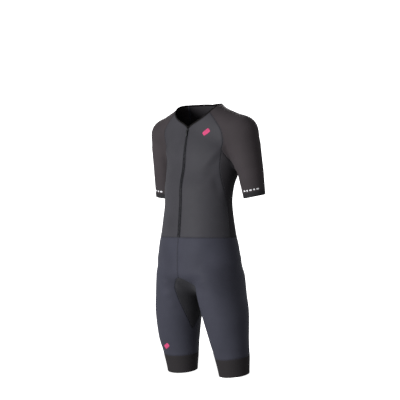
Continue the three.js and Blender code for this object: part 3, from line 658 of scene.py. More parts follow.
def front_grid(s):
    """The left front, from the zip to the side seam."""
    outer = np.vstack([s.side, s.raglan_front[::-1][1:]])
    heights = np.linspace(WAIST_LEVEL, s.neck_front[0, 2], len(outer))
    zip_edge = beside_zip(ZIP_HALF_WIDTH, heights)
    waist = s.waist(float(turn_of(zip_edge[0])), float(turn_of(s.side[0])), STEPS["neck_front"])
    return filled(waist, s.neck_front, zip_edge, outer)


def back_grids(s):
    """The back in a lower part, up to the level of the underarm, and an upper part."""
    shoulder_level = s.underarm[2]
    turns = np.linspace(float(turn_of(s.underarm)), math.pi, STEPS["neck_back"] + 1)
    across = trunk_point(turns, shoulder_level)
    across[0] = s.underarm
    waist = s.waist(float(turn_of(s.side[0])), math.pi, STEPS["underarm"] + STEPS["neck_back"])
    lower_heights = np.linspace(WAIST_LEVEL, shoulder_level, STEPS["side"] + 1)
    lower_middle = trunk_point(math.pi, lower_heights)
    lower = filled(waist, np.vstack([s.armhole_front[:-1], across]), s.side, lower_middle)
    upper_side = s.armhole_back[::-1]
    upper_heights = np.linspace(shoulder_level, s.neck_back[-1, 2], len(upper_side))
    upper = filled(across, s.neck_back, upper_side, trunk_point(math.pi, upper_heights))
    return [lower, upper, mirrored(lower), mirrored(upper)]


def sleeve_grid(s):
    """The left sleeve, from the neckline down to its band, and the turn of its seam."""
    fronts = np.vstack([s.raglan_front, s.armhole_front[1:]])
    reach = float((s.underarm - SLEEVE_HEM) @ ARM_AXIS)
    controls = (along_arm(reach), along_arm(SLEEVE_TURN), SLEEVE_HEAD)
    last = len(fronts) - 1
    places = []
    ways = []
    for k in range(1, last + 1):
        t = 1 - k / last
        middle = (1 - t) ** 2 * controls[0] + 2 * t * (1 - t) * controls[1] + t * t * controls[2]
        rising = (1 - t) * (controls[1] - controls[0]) + t * (controls[2] - controls[1])
        places.append(limb_frame(middle, rising))
        ways.append(row_ways(places[-1], fronts[k], s.armhole_back[k], STEPS["sleeve_round"]))
    seam_turn = positive(turn_about(limb_frame(along_arm(reach), ARM_AXIS), s.underarm)[0])
    for down in np.linspace(reach, SLEEVE_BAND_DEPTH, STEPS["sleeve_down"] + 1)[1:]:
        places.append(limb_frame(along_arm(down), ARM_AXIS))
        ways.append(ring_ways(places[-1], seam_turn, STEPS["sleeve_round"]))
    rows = cast_rows(places, ways)
    rows[:last, 0] = fronts[1:]
    rows[:last, -1] = s.armhole_back[1:]
    for k in range(last + 2):
        rows[k] = mended(rows[k], places[k][0])
    grid = np.concatenate([s.neck_sleeve[None], rows])
    return evened(grid, s.underarm, UNDERARM_REACH, EVEN_PASSES), seam_turn


def sleeve_band_grid(seam_turn):
    """The band of the left sleeve's hem."""
    reaches = np.linspace(SLEEVE_BAND_DEPTH, 0, STEPS["sleeve_band"] + 1)
    places = [limb_frame(along_arm(reach), ARM_AXIS) for reach in reaches]
    return cast_rows(places, [ring_ways(place, seam_turn, STEPS["sleeve_round"]) for place in places])


def smoothstep(x, low, high):
    """A share that rises softly from 0 to 1 between two values."""
    t = min(max((x - low) / (high - low), 0), 1)
    return t * t * (3 - 2 * t)


def leg_places(s):
    """Frames of the leg rows, level at the waist and square to the leg at the band."""
    tip = s.arch_front[-1, 2]
    top = s.arch_front[0, 2]
    band_top = HEM_FRAME[0] + HEM_FRAME[1] * LEG_BAND_DEPTH
    heights = np.concatenate([
        np.linspace(WAIST_LEVEL, top, STEPS["hip"] + 1),
        np.linspace(top, tip, STEPS["arch"] + 1)[1:],
        np.linspace(tip, band_top[2], STEPS["inseam"] + 1)[1:],
    ])
    places = []
    for z in heights:
        share = smoothstep(-z, -top, -band_top[2])
        middle = leg_middle(z)
        middle[0] = HIP_MIDDLE + (middle[0] - HIP_MIDDLE) * smoothstep(-z, -WAIST_LEVEL, -tip)
        if z == heights[-1]:
            middle = band_top
        places.append(limb_frame(middle, np.array([0.0, 0.0, 1.0]) * (1 - share) + HEM_FRAME[1] * share))
    return places


def shorts_grid(s):
    """The left half of the shorts, and the turn of its inner seam."""
    places = leg_places(s)
    front_heights = np.linspace(WAIST_LEVEL, s.arch_front[0, 2], STEPS["hip"] + 1)
    back_heights = np.linspace(WAIST_LEVEL, s.arch_back[0, 2], STEPS["hip"] + 1)
    fronts = np.vstack([beside_zip(0, front_heights)[:-1], s.arch_front])
    backs = np.vstack([settle(trunk_point(math.pi, back_heights))[:-1], s.arch_back])
    count = len(fronts)
    steps = STEPS["shorts_round"]
    ways = [row_ways(places[k], fronts[k], backs[k], steps) for k in range(count)]
    seam_turn = positive(turn_about(places[count - 1], s.arch_front[-1])[0])
    ways += [ring_ways(place, seam_turn, steps) for place in places[count:]]
    rows = cast_rows(places, ways)
    rows[:count, 0] = fronts
    rows[:count, -1] = backs
    return rows, seam_turn


def leg_band_grid(seam_turn):
    """The gripper band of the left leg."""
    reaches = np.linspace(LEG_BAND_DEPTH, 0, STEPS["leg_band"] + 1)
    places = [limb_frame(HEM_FRAME[0] + HEM_FRAME[1] * reach, HEM_FRAME[1]) for reach in reaches]
    return cast_rows(places, [ring_ways(place, seam_turn, STEPS["shorts_round"]) for place in places])


def gusset_grid(s):
    """The gusset's rows run from its front edge under the crotch to its back edge."""
    t = np.linspace(0, 1, STEPS["gusset"] + 1)[None, :, None]
    p = s.arch_front[:, None] * (1 - t) * (1 - 2 * t)
    p = p + s.fork_line[:, None] * 4 * t * (1 - t) + s.arch_back[:, None] * t * (2 * t - 1)
    grid = evened(settle(p), FORK_PLACE, FORK_REACH, EVEN_PASSES)
    grid = evened(grid, FORK_PLACE, FORK_REACH, BRIDGE_PASSES, laid=False)
    grid[:, 0] = s.arch_front
    grid[:, -1] = s.arch_back
    grid[-1] = grid[-2] + (s.arch_front[-1] - grid[-2]) * 0.8
    return np.concatenate([mirrored(grid)[1:][::-1], grid])


class Cloth:
    """One surface of cloth joined from grids of points, with its borders and its places in the weave."""

    def __init__(self, grids):
        points, places, quads = [], [], []
        count = 0
        for grid in grids:
            rows, columns = grid.shape[:2]
            index = count + np.arange(rows * columns).reshape(rows, columns)
            found = np.stack([index[:-1, :-1], index[1:, :-1], index[1:, 1:], index[:-1, 1:]], axis=-1)
            middle = grid[rows // 2, columns // 2]
            down = grid[rows // 2 + 1, columns // 2] - middle
            right = grid[rows // 2, columns // 2 + 1] - middle
            facing = np.cross(down, right) @ outward(middle)
            quads.append(found.reshape(-1, 4)[:, ::-1] if facing < 0 else found.reshape(-1, 4))
            points.append(grid.reshape(-1, 3))
            places.append(self.weave_places(grid).reshape(-1, 2))
            count += rows * columns
        points = np.vstack(points)
        keys = np.round(points * 50).astype(int)
        _, first, joined = np.unique(keys, axis=0, return_index=True, return_inverse=True)
        joined = joined.reshape(-1)
        self.points = points[first]
        self.weave = np.vstack(places)[first]
        self.faces = [self.without_repeats(face) for face in joined[np.vstack(quads)].tolist()]
        self.faces = [face for face in self.faces if len(face) > 2]
        self.edges = self.borders()
        self.normals = outward(self.points)
        self.draw = self.drawn_back()

    @staticmethod
    def weave_places(grid):
        """Distances across and down the grid, in metres, for the weave of the cloth."""
        across = np.linalg.norm(np.diff(grid, axis=1), axis=-1)
        down = np.linalg.norm(np.diff(grid, axis=0), axis=-1)
        u = np.concatenate([np.zeros((len(grid), 1)), np.cumsum(across, axis=1)], axis=1)
        v = np.concatenate([np.zeros((1, grid.shape[1])), np.cumsum(down, axis=0)], axis=0)
        return np.stack([u - u[:, -1:] / 2, v], axis=-1) * MM

    @staticmethod
    def without_repeats(face):
        """A face without points that follow themselves."""
        return [v for i, v in enumerate(face) if v != face[i - 1]]

    def borders(self):
        """The edges that only one face has, each running with its face on the left."""
        edges = {}
        for face in self.faces:
            for a, b in zip(face, face[1:] + face[:1]):
                if edges.pop((b, a), None) is None:
                    edges[(a, b)] = True
        return list(edges)

    def drawn_back(self):
        """The way in which each border point draws back from its seam."""
        ways = {}
        for a, b in self.edges:
            along = unit(self.points[b] - self.points[a])
            for end in (a, b):
                ways.setdefault(end, []).append(unit(np.cross(self.normals[end], along)))
        draw = np.zeros(self.points.shape)
        for end, pair in ways.items():
            if len(pair) > 1:
                draw[end] = (pair[0] + pair[1]) / max(1 + float(pair[0] @ pair[1]), MITRE_LEAST)
        return draw


def new_object(name, vertices, faces, material, smooth=True):
    """A mesh object in the scene with one material."""
    mesh = bpy.data.meshes.new(name)
    mesh.from_pydata(np.asarray(vertices).tolist(), [], faces)
    mesh.update()
    mesh.polygons.foreach_set("use_smooth", [smooth] * len(mesh.polygons))
    made = bpy.data.objects.new(name, mesh)
    bpy.context.scene.collection.objects.link(made)
    made.data.materials.append(material)
    return made


def declare(made, slot, *nodes):
    """Attaches a piece to the suit's body and hides the nodes that it replaces; the slot is not used."""
    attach(made, "suit")
    if nodes:
        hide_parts(*nodes)


def cloth_piece(name, grids, material, slot, thickness=1.2, proud=0.0, edge=0.25, tuck=0.18):
    """A thin shell of cloth with rounded edges, in the place of its solid."""
    cloth = Cloth(grids)
    count = len(cloth.points)
    lift = relief(cloth.points) + proud
    border = np.linalg.norm(cloth.draw, axis=-1) > 0
    drawn = cloth.draw * (SEAM_HALF_GAP + edge)
    sunk = np.where(border, tuck, 0.0)
    outer = cloth.points + drawn + cloth.normals * (lift - sunk)[:, None]
    inner = cloth.points + drawn + cloth.normals * (lift - thickness + sunk * 0.2)[:, None]
    rim = cloth.points + cloth.draw * SEAM_HALF_GAP + cloth.normals * (lift - thickness / 2)[:, None]
    faces = [list(face) for face in cloth.faces]
    faces += [[v + count for v in reversed(face)] for face in cloth.faces]
    places = sorted({v for edge_pair in cloth.edges for v in edge_pair})
    number = {v: 2 * count + i for i, v in enumerate(places)}
    for a, b in cloth.edges:
        faces.append([b, a, number[a], number[b]])
        faces.append([number[b], number[a], a + count, b + count])
    made = new_object(name + "_cloth", np.vstack([outer, inner, rim[places]]) * MM, faces, material)
    weave = np.vstack([cloth.weave, cloth.weave, cloth.weave[places]])
    layer = made.data.uv_layers.new(name="weave")
    corners = np.empty(len(made.data.loops), dtype=np.int32)
    made.data.loops.foreach_get("vertex_index", corners)
    layer.data.foreach_set("uv", weave[corners].ravel())
    declare(made, slot, name)


def both(name, grid, material, slot, **sizes):
    """The left piece of cloth and its mirror image on the right."""
    cloth_piece(name + "_left", [grid], material, slot, **sizes)
    cloth_piece(name + "_right", [mirrored(grid)], material, slot, **sizes)


def ring_faces(length, around):
    """Faces between neighbouring rings of points."""
    faces = []
    for i in range(length - 1):
        for j in range(around):
            k = (j + 1) % around
            faces.append([i * around + j, i * around + k, (i + 1) * around + k, (i + 1) * around + j])
    return faces


def face_outward(made):
    """Turns all faces of a closed mesh outward."""
    work = bmesh.new()
    work.from_mesh(made.data)
    bmesh.ops.recalc_face_normals(work, faces=work.faces)
    work.to_mesh(made.data)
    work.free()


def tube(name, rings, material):
    """A tube from rings of points, with flat ends."""
    rings = np.asarray(rings)
    length, around = rings.shape[:2]
    faces = ring_faces(length, around)
    faces.append(list(range(around))[::-1])
    faces.append([(length - 1) * around + j for j in range(around)])
    made = new_object(name, rings.reshape(-1, 3) * MM, faces, material)
    face_outward(made)
    return made


def stitch_rows(rows, pitch, length, width, proud):
    """Meshes of small thread stitches laid on rows of points, each row with its normals."""
    vertices, faces = [], []
    for line, normals in rows:
        lengths = np.concatenate([[0], np.cumsum(np.linalg.norm(np.diff(line, axis=0), axis=1))])
        total = lengths[-1]
        places = np.arange(pitch / 2, total, pitch)
        if len(places) == 0:
            continue
        at = np.stack([np.interp(places, lengths, line[:, k]) for k in range(3)], axis=1)
        ahead = np.stack([np.interp(places + 0.5, lengths, line[:, k]) for k in range(3)], axis=1)
        behind = np.stack([np.interp(places - 0.5, lengths, line[:, k]) for k in range(3)], axis=1)
        up = unit(np.stack([np.interp(places, lengths, normals[:, k]) for k in range(3)], axis=1))
        along = unit(ahead - behind)
        side = np.cross(along, up)
        base = at + up * relief(at)[:, None]
        for share, wide, rise in STITCH_PARTS:
            centre = base + along * length * share + up * proud * rise
            for across, over in ((1, 0), (0, 1), (-1, 0), (0, -1)):
                corner = side * across * wide * width / 2 + up * over * wide * width / STITCH_FLATNESS
                vertices.append(centre + corner)
        first = sum(len(v) for v in vertices[:-16])
        n = len(places)
        for k in range(n):
            ring = [[first + (r * 4 + c) * n + k for c in range(4)] for r in range(4)]
            for r in range(3):
                for c in range(4):
                    d = (c + 1) % 4
                    faces.append([ring[r][c], ring[r][d], ring[r + 1][d], ring[r + 1][c]])
            faces.append(ring[0][::-1])
            faces.append(ring[3])
    return np.vstack(vertices), faces


def beside(line, away, across=None):
    """A line moved across on the form, with its normals, for a row of stitches."""
    normals = outward(line)
    along = unit(np.gradient(line, axis=0))
    side = np.cross(normals, along) if across is None else across
    moved = line + side * away
    return moved, outward(moved)


def node(tree, kind, **inputs):
    """A shader node with its inputs set."""
    made = tree.nodes.new(kind)
    for name, value in inputs.items():
        made.inputs[name.replace("_", " ")].default_value = value
    return made


def ramp_node(tree, stops):
    """A colour ramp with the given stops."""
    ramp = tree.nodes.new("ShaderNodeValToRGB")
    elements = ramp.color_ramp.elements
    while len(elements) < len(stops):
        elements.new(0.5)
    for element, (place, colour) in zip(elements, stops):
        element.position = place
        element.color = (*colour, 1)
    return ramp


def shaded(colour, factor):
    """A colour made darker or lighter."""
    return tuple(min(c * factor, 1.0) for c in colour)


def knit_material(name, colour, roughness, sheen, rib, course, depth, variation=0.12, crumple=0.5,
                  gloss=0.012):
    """Knitted cloth: fine wales and courses, slow changes of shade and a soft sheen."""
    material = bpy.data.materials.new(name)
    material.use_nodes = True
    tree = material.node_tree
    link = tree.links.new
    shader = tree.nodes["Principled BSDF"]
    shader.inputs["Roughness"].default_value = roughness
    shader.inputs["Specular IOR Level"].default_value = gloss
    shader.inputs["Sheen Weight"].default_value = sheen
    shader.inputs["Sheen Roughness"].default_value = 0.45
    shader.inputs["Sheen Tint"].default_value = (*shaded(colour, 4.0), 1)
    place = tree.nodes.new("ShaderNodeTexCoord")
    wales = node(tree, "ShaderNodeTexWave", Scale=math.pi / (rib * 20), Distortion=0.6, Detail=1.0)
    wales.bands_direction = "X"
    courses = node(tree, "ShaderNodeTexWave", Scale=math.pi / (course * 20), Distortion=0.5, Detail=1.0)
    courses.bands_direction = "Y"
    link(place.outputs["UV"], wales.inputs["Vector"])
    link(place.outputs["UV"], courses.inputs["Vector"])
    loops = tree.nodes.new("ShaderNodeMath")
    loops.operation = "MULTIPLY"
    link(wales.outputs["Fac"], loops.inputs[0])
    link(courses.outputs["Fac"], loops.inputs[1])
    slow = node(tree, "ShaderNodeTexNoise", Scale=9.0, Detail=3.0, Roughness=0.55)
    link(place.outputs["Object"], slow.inputs["Vector"])
    fine = node(tree, "ShaderNodeTexNoise", Scale=900.0, Detail=2.0, Roughness=0.6)
    link(place.outputs["Object"], fine.inputs["Vector"])
    shades = ramp_node(tree, [
        (0.3, shaded(colour, 1 - variation)), (0.55, colour), (0.78, shaded(colour, 1 + variation)),
    ])
    link(slow.outputs["Fac"], shades.inputs["Fac"])
    yarn = ramp_node(tree, [(0.0, (0.72, 0.72, 0.72)), (1.0, (1.0, 1.0, 1.0))])
    link(loops.outputs["Value"], yarn.inputs["Fac"])
    mix = tree.nodes.new("ShaderNodeMix")
    mix.data_type = "RGBA"
    mix.blend_type = "MULTIPLY"
    mix.inputs["Factor"].default_value = 0.6
    link(shades.outputs["Color"], mix.inputs["A"])
    link(yarn.outputs["Color"], mix.inputs["B"])
    link(mix.outputs["Result"], shader.inputs["Base Color"])
    worn = node(tree, "ShaderNodeMapRange", To_Min=roughness - 0.05, To_Max=roughness + 0.06)
    link(slow.outputs["Fac"], worn.inputs["Value"])
    link(worn.outputs["Result"], shader.inputs["Roughness"])
    soft = node(tree, "ShaderNodeTexNoise", Scale=22.0, Detail=2.5, Roughness=0.5, Distortion=0.4)
    stretch = node(tree, "ShaderNodeMapping")
    stretch.inputs["Scale"].default_value = (1.0, 1.0, 2.2)
    link(place.outputs["Object"], stretch.inputs["Vector"])
    link(stretch.outputs["Vector"], soft.inputs["Vector"])
    ripples = node(tree, "ShaderNodeBump", Strength=crumple, Distance=0.0012)
    link(soft.outputs["Fac"], ripples.inputs["Height"])
    surface = node(tree, "ShaderNodeBump", Strength=depth, Distance=0.00025)
    link(loops.outputs["Value"], surface.inputs["Height"])
    link(ripples.outputs["Normal"], surface.inputs["Normal"])
    fuzz = node(tree, "ShaderNodeBump", Strength=0.25, Distance=0.00015)
    link(fine.outputs["Fac"], fuzz.inputs["Height"])
    link(surface.outputs["Normal"], fuzz.inputs["Normal"])
    link(fuzz.outputs["Normal"], shader.inputs["Normal"])
    return material


def hard_material(name, colour, roughness, metallic, grain=0.2, gloss=0.5):
    """A hard finish with fine grain and slightly worn gloss."""
    material = bpy.data.materials.new(name)
    material.use_nodes = True
    tree = material.node_tree
    link = tree.links.new
    shader = tree.nodes["Principled BSDF"]
    shader.inputs["Metallic"].default_value = metallic
    shader.inputs["Specular IOR Level"].default_value = gloss
    place = tree.nodes.new("ShaderNodeTexCoord")
    grains = node(tree, "ShaderNodeTexNoise", Scale=1400.0, Detail=3.0, Roughness=0.6)
    patches = node(tree, "ShaderNodeTexNoise", Scale=160.0, Detail=3.0, Roughness=0.6)
    link(place.outputs["Object"], grains.inputs["Vector"])
    link(place.outputs["Object"], patches.inputs["Vector"])
    shades = ramp_node(tree, [(0.35, shaded(colour, 0.8)), (0.6, colour), (0.8, shaded(colour, 1.3))])
    link(patches.outputs["Fac"], shades.inputs["Fac"])
    link(shades.outputs["Color"], shader.inputs["Base Color"])
    worn = node(tree, "ShaderNodeMapRange", To_Min=roughness - 0.06, To_Max=roughness + 0.1)
    link(patches.outputs["Fac"], worn.inputs["Value"])
    link(worn.outputs["Result"], shader.inputs["Roughness"])
    bump = node(tree, "ShaderNodeBump", Strength=grain, Distance=0.0001)
    link(grains.outputs["Fac"], bump.inputs["Height"])
    link(bump.outputs["Normal"], shader.inputs["Normal"])
    return material


def plain_material(name, colour, roughness, glow):
    """The stage's matt finish, with a faint mottle and a glow that keeps it pale."""
    material = bpy.data.materials.new(name)
    material.use_nodes = True
    tree = material.node_tree
    shader = tree.nodes["Principled BSDF"]
    shader.inputs["Roughness"].default_value = roughness
    shader.inputs["Specular IOR Level"].default_value = 0.1
    shader.inputs["Emission Color"].default_value = (1, 1, 1, 1)
    shader.inputs["Emission Strength"].default_value = glow
    noise = node(tree, "ShaderNodeTexNoise", Scale=3.0, Detail=2.0)
    shades = ramp_node(tree, [(0.3, shaded(colour, 0.99)), (0.7, colour)])
    tree.links.new(noise.outputs["Fac"], shades.inputs["Fac"])
    tree.links.new(shades.outputs["Color"], shader.inputs["Base Color"])
    return material


def finish_colour(name, description, default):
    """A colour that a user can change."""
    return bpy.props.FloatVectorProperty(
        name=name, description=description, subtype="COLOR", default=default)


class SuitLooks(bpy.types.PropertyGroup):
    """Colours and small sizes of the suit."""

    front: finish_colour("Front cloth", "Colour of the two fronts", (0.0172, 0.0168, 0.0194))
    # The back is darker than the fronts partly as its own darker cloth and partly as painted shade of the
    # sides and underarms that turn from the light
    back: finish_colour("Back cloth", "Colour of the back and its sides", (0.0125, 0.0118, 0.0132))
    sleeve: finish_colour("Sleeve cloth", "Colour of the fine mesh sleeves", (0.0188, 0.0163, 0.0176))
    sleeve_band: finish_colour("Sleeve bands", "Colour of the sleeve hem bands", (0.0105, 0.0103, 0.0112))
    shorts: finish_colour(
        "Shorts cloth", "Colour of the two halves of the shorts", (0.0180, 0.0184, 0.0244))
    # The gusset is darker than the shorts partly as its own matt cloth and partly as painted shade of the
    # hollow between the thighs
    gusset: finish_colour("Gusset cloth", "Colour of the gusset", (0.0140, 0.0140, 0.0158))
    leg_band: finish_colour("Leg bands", "Colour of the gripper bands", (0.0112, 0.0103, 0.0110))
    binding: finish_colour("Binding", "Colour of the neckline's binding", (0.0030, 0.0026, 0.0026))
    zip: finish_colour("Zip", "Colour of the zip's tapes and teeth", (0.0060, 0.0060, 0.0070))
    thread: finish_colour("Thread", "Colour of the stitching", (0.0085, 0.0083, 0.0095))
    pink: finish_colour("Pink marks", "Colour of the plain printed bars", (0.21, 0.024, 0.065))
    pale: finish_colour("Pale marks", "Colour of the plain printed dashes", (0.28, 0.28, 0.29))
    thickness: bpy.props.FloatProperty(
        name="Cloth thickness", description="Thickness of the cloth in millimetres", default=1.2,
        min=0.5, max=1.6)
    stitch: bpy.props.FloatProperty(
        name="Stitch pitch", description="Length of one stitch with its gap, in millimetres",
        default=3.2, min=2.0, max=6.0)


class StageSettings(bpy.types.PropertyGroup):
    """Sizes of the stage, the lights and the view."""

    azimuth: bpy.props.FloatProperty(
        name="View azimuth", description="Turn of the view towards the suit's left side", subtype="ANGLE",
        default=math.radians(40))
    distance: bpy.props.FloatProperty(
        name="View distance", description="Distance of the view from the body's axis", unit="LENGTH",
        default=5.0)
    view_height: bpy.props.FloatProperty(
        name="View height", description="Height of the level view", unit="LENGTH", default=-0.333)
    sideways: bpy.props.FloatProperty(
        name="Sideways", description="How far the view stands to its right", unit="LENGTH",
        default=0.0053)
    field: bpy.props.FloatProperty(
        name="Field of view", description="Whole angle of the view", subtype="ANGLE",
        default=math.radians(16.1))
    floor: bpy.props.FloatProperty(
        name="Floor height", description="Height of the floor below the shoulders", unit="LENGTH",
        default=-1.525)


_seams = []


def seams():
    """The seam lines, worked out once."""
    if not _seams:
        _seams.append(Seams())
    return _seams[0]


def looks():
    """The settings of the suit's looks."""
    return bpy.context.scene.suit_looks


def colour(name):
    """A colour from the suit's settings."""
    return tuple(getattr(looks(), name))


class SUIT_OT_fronts(bpy.types.Operator):
    """Makes the two fronts"""
    bl_idname = "suit.fronts"
    bl_label = "Fronts"

    def execute(self, context):
        material = knit_material(
            "front_knit", colour("front"), 0.58, 0.15, 0.0011, 0.0009, 0.35, gloss=0.035)
        both("front", front_grid(seams()), material, "front_cloth", thickness=looks().thickness)
        return {"FINISHED"}


class SUIT_OT_back(bpy.types.Operator):
    """Makes the back, which wraps forward under the arms"""
    bl_idname = "suit.back"
    bl_label = "Back"

    def execute(self, context):
        # Darker than the fronts: partly its own cloth, partly painted shade of the sides and underarms
        # turned from the light
        material = knit_material("back_knit", colour("back"), 0.7, 0.1, 0.0012, 0.001, 0.4)
        cloth_piece("back", back_grids(seams()), material, "back_cloth", thickness=looks().thickness)
        return {"FINISHED"}


class SUIT_OT_sleeves(bpy.types.Operator):
    """Makes the raglan sleeves and their hem bands"""
    bl_idname = "suit.sleeves"
    bl_label = "Sleeves"

    def execute(self, context):
        grid, seam_turn = sleeve_grid(seams())
        mesh_knit = knit_material("sleeve_knit", colour("sleeve"), 0.72, 0.25, 0.0016, 0.0014, 0.6)
        both("sleeve", grid, mesh_knit, "sleeve_cloth", thickness=looks().thickness)
        band = knit_material("sleeve_band_knit", colour("sleeve_band"), 0.6, 0.2, 0.0022, 0.0007, 0.7)
        both("sleeve_band", sleeve_band_grid(seam_turn), band, "sleeve_band_cloth",
             thickness=1.5, proud=0.25)
        return {"FINISHED"}


class SUIT_OT_shorts(bpy.types.Operator):
    """Makes the shorts, the gusset and the gripper bands of the legs"""
    bl_idname = "suit.shorts"
    bl_label = "Shorts"

    def execute(self, context):
        grid, seam_turn = shorts_grid(seams())
        material = knit_material("shorts_knit", colour("shorts"), 0.5, 0.12, 0.0010, 0.0008, 0.3)
        both("shorts", grid, material, "shorts_cloth", thickness=looks().thickness)
        # Darker than the shorts: partly its own matt cloth, partly painted shade of the hollow between
        # the thighs
        gusset = knit_material("gusset_knit", colour("gusset"), 0.75, 0.1, 0.0014, 0.0012, 0.5)
        cloth_piece("gusset", [gusset_grid(seams())], gusset, "gusset_cloth", thickness=looks().thickness)
        band = knit_material("leg_band_knit", colour("leg_band"), 0.68, 0.12, 0.0034, 0.0009, 1.0,
                             variation=0.08, crumple=0.3)
        both("leg_band", leg_band_grid(seam_turn), band, "leg_band_cloth", thickness=1.5, proud=0.15)
        return {"FINISHED"}


def neckline():
    """The whole neckline, from the zip round the neck to the zip."""
    s = seams()
    left = np.vstack([s.neck_front, s.neck_sleeve[1:], s.neck_back[1:]])
    line = np.vstack([left, mirrored(left)[::-1][1:]])
    return evenly(line, NECK_STEPS)


def neck_inward(line, normals):
    """The way across the neckline, towards the neck."""
    inward = unit(np.cross(unit(np.gradient(line, axis=0)), normals))
    inward *= np.where(np.sum(inward * (NECK_MIDDLE - line), axis=-1) < 0, -1.0, 1.0)[:, None]
    return inward


def rounded(wave, power):
    """A sine or cosine pulled towards a box with rounded corners."""
    return np.sign(wave) * np.abs(wave) ** power


class SUIT_OT_binding(bpy.types.Operator):
    """Makes the folded binding of the neckline"""
    bl_idname = "suit.binding"
    bl_label = "Neck binding"

    def execute(self, context):
        line = neckline()
        normals = outward(line)
        inward = neck_inward(line, normals)
        middle = line + inward * BINDING_IN + normals * (relief(line) - BINDING_DEEP)[:, None]
        turns = np.linspace(0, 2 * math.pi, STEPS["binding_round"], endpoint=False)
        wide = rounded(np.cos(turns), BINDING_ROUND) * BINDING_HALF_WIDE
        thick = rounded(np.sin(turns), BINDING_ROUND) * BINDING_HALF_THICK
        rings = middle[:, None] + inward[:, None] * wide[None, :, None]
        rings = rings + normals[:, None] * thick[None, :, None]
        material = hard_material("binding_cloth", colour("binding"), 0.8, 0.0, grain=0.5, gloss=0.03)
        made = tube("binding_strip", rings, material)
        declare(made, "binding_cloth", "neck_binding")
        return {"FINISHED"}


def zip_heights():
    """The heights of the zip's two ends."""
    top = float(seams().neck_front[0, 2])
    return WAIST_LEVEL + STOP_TALL, top


class SUIT_OT_zip(bpy.types.Operator):
    """Makes the zip's tapes, coil teeth and bottom stop"""
    bl_idname = "suit.zip"
    bl_label = "Zip"

    def execute(self, context):
        bottom, top = zip_heights()
        heights = np.linspace(bottom, top, TAPE_ROWS)[:, None]
        material = knit_material(
            "zip_tape_weave", colour("zip"), 0.75, 0.1, 0.0006, 0.0008, 0.6, crumple=0.0)
        places = np.linspace(CHAIN_HALF_WIDTH, ZIP_HALF_WIDTH, TAPE_COLUMNS)[None]
        tape = beside_zip(places, heights)
        both("zip_tape", tape, material, "zip_tape", thickness=0.8, edge=0.1, tuck=0.1)
        self.teeth(bottom, top)
        self.stop()
        return {"FINISHED"}

    def teeth(self, bottom, top):
        """A closed row of teeth, in turn from the left and from the right."""
        line = beside_zip(0.0, np.linspace(bottom + TEETH_SHORT, top - TEETH_SHORT, TEETH))
        normals = outward(line)
        lift = relief(line)
        vertices, faces = [], []
        for k, (middle, normal) in enumerate(zip(line + normals * lift[:, None], normals)):
            side = 1 if k % 2 else -1
            up = unit(np.cross(normal, [1.0, 0.0, 0.0]))
            across = np.cross(up, normal)
            first = len(vertices)
            for out, tall, low, high in TOOTH_PARTS:
                centre = middle + across * side * out
                for t in (-tall, tall):
                    for h in (low, high):
                        vertices.append(centre + up * t + normal * h)
            for ring in (0, 4):
                a = first + ring
                for i, j in ((0, 1), (1, 3), (3, 2), (2, 0)):
                    faces.append([a + i, a + j, a + 4 + j, a + 4 + i])
            faces.append([first, first + 2, first + 3, first + 1])
            faces.append([first + 8, first + 9, first + 11, first + 10])
        material = hard_material("zip_coil", colour("zip"), 0.5, 0.0, grain=0.1, gloss=0.1)
        made = new_object("zip_teeth", np.array(vertices) * MM, faces, material, smooth=False)
        face_outward(made)
        declare(made, "zip_teeth", "zip_chain")

    def stop(self):
        """The bar tack at the zip's lower end."""
        bevelled("zip_stop", "bar_tack", "suit", 0.0004,
                 hard_material("bar_tack_thread", colour("thread"), 0.7, 0.0, grain=0.8, gloss=0.05))


def bevelled(node_name, name, body, width, material):
    """A copy of a hard solid with its edges rounded, in the place of the solid."""
    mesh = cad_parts[node_name].data.copy()
    mesh.name = name
    mesh.materials.clear()
    mesh.materials.append(material)
    work = bmesh.new()
    work.from_mesh(mesh)
    bmesh.ops.remove_doubles(work, verts=work.verts, dist=1e-6)
    bmesh.ops.dissolve_limit(work, angle_limit=math.radians(2), verts=work.verts, edges=work.edges)
    work.to_mesh(mesh)
    work.free()
    made = bpy.data.objects.new(name, mesh)
    bpy.context.scene.collection.objects.link(made)
    bevel = made.modifiers.new("edges", "BEVEL")
    bevel.width = width
    bevel.segments = 3
    bevel.limit_method = "ANGLE"
    bevel.angle_limit = math.radians(30)
    baked = bpy.data.meshes.new_from_object(made.evaluated_get(bpy.context.evaluated_depsgraph_get()))
    made.modifiers.clear()
    made.data = baked
    baked.polygons.foreach_set("use_smooth", [True] * len(baked.polygons))
    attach(made, body)
    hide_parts(node_name)
    return made


class SUIT_OT_slider(bpy.types.Operator):
    """Makes the zip's slider and its pull tab"""
    bl_idname = "suit.slider"
    bl_label = "Slider and pull"

    def execute(self, context):
        material = hard_material("slider_metal", (0.022, 0.022, 0.024), 0.38, 0.8, grain=0.15)
        bevelled("zip_slider", "slider_body", "suit", 0.0003, material)
        bevelled("zip_pull", "pull_tab", "pull", 0.0003, material)
        return {"FINISHED"}


def strip(line, half_wide, near, far):
    """A thin flat strip under the cloth along a line, between two depths."""
    normals = outward(line)
    side = unit(np.cross(normals, unit(np.gradient(line, axis=0))))
    rings = []
    for away, depth in ((-half_wide, near), (half_wide, near), (half_wide, far), (-half_wide, far)):
        moved = line + side * away
        rings.append(moved + normals * (relief(moved) - depth)[:, None])
    rings = np.stack(rings, axis=1)
    last = 4 * (len(rings) - 1)
    faces = ring_faces(len(rings), 4) + [[3, 2, 1, 0], [last, last + 1, last + 2, last + 3]]
    return rings.reshape(-1, 3), faces


def merged(name, parts, material):
    """One object from several meshes of points and faces."""
    vertices, faces = [], []
    count = 0
    for points, own in parts:
        vertices.append(points)
        faces += [[v + count for v in face] for face in own]
        count += len(points)
    return new_object(name, np.vstack(vertices) * MM, faces, material)


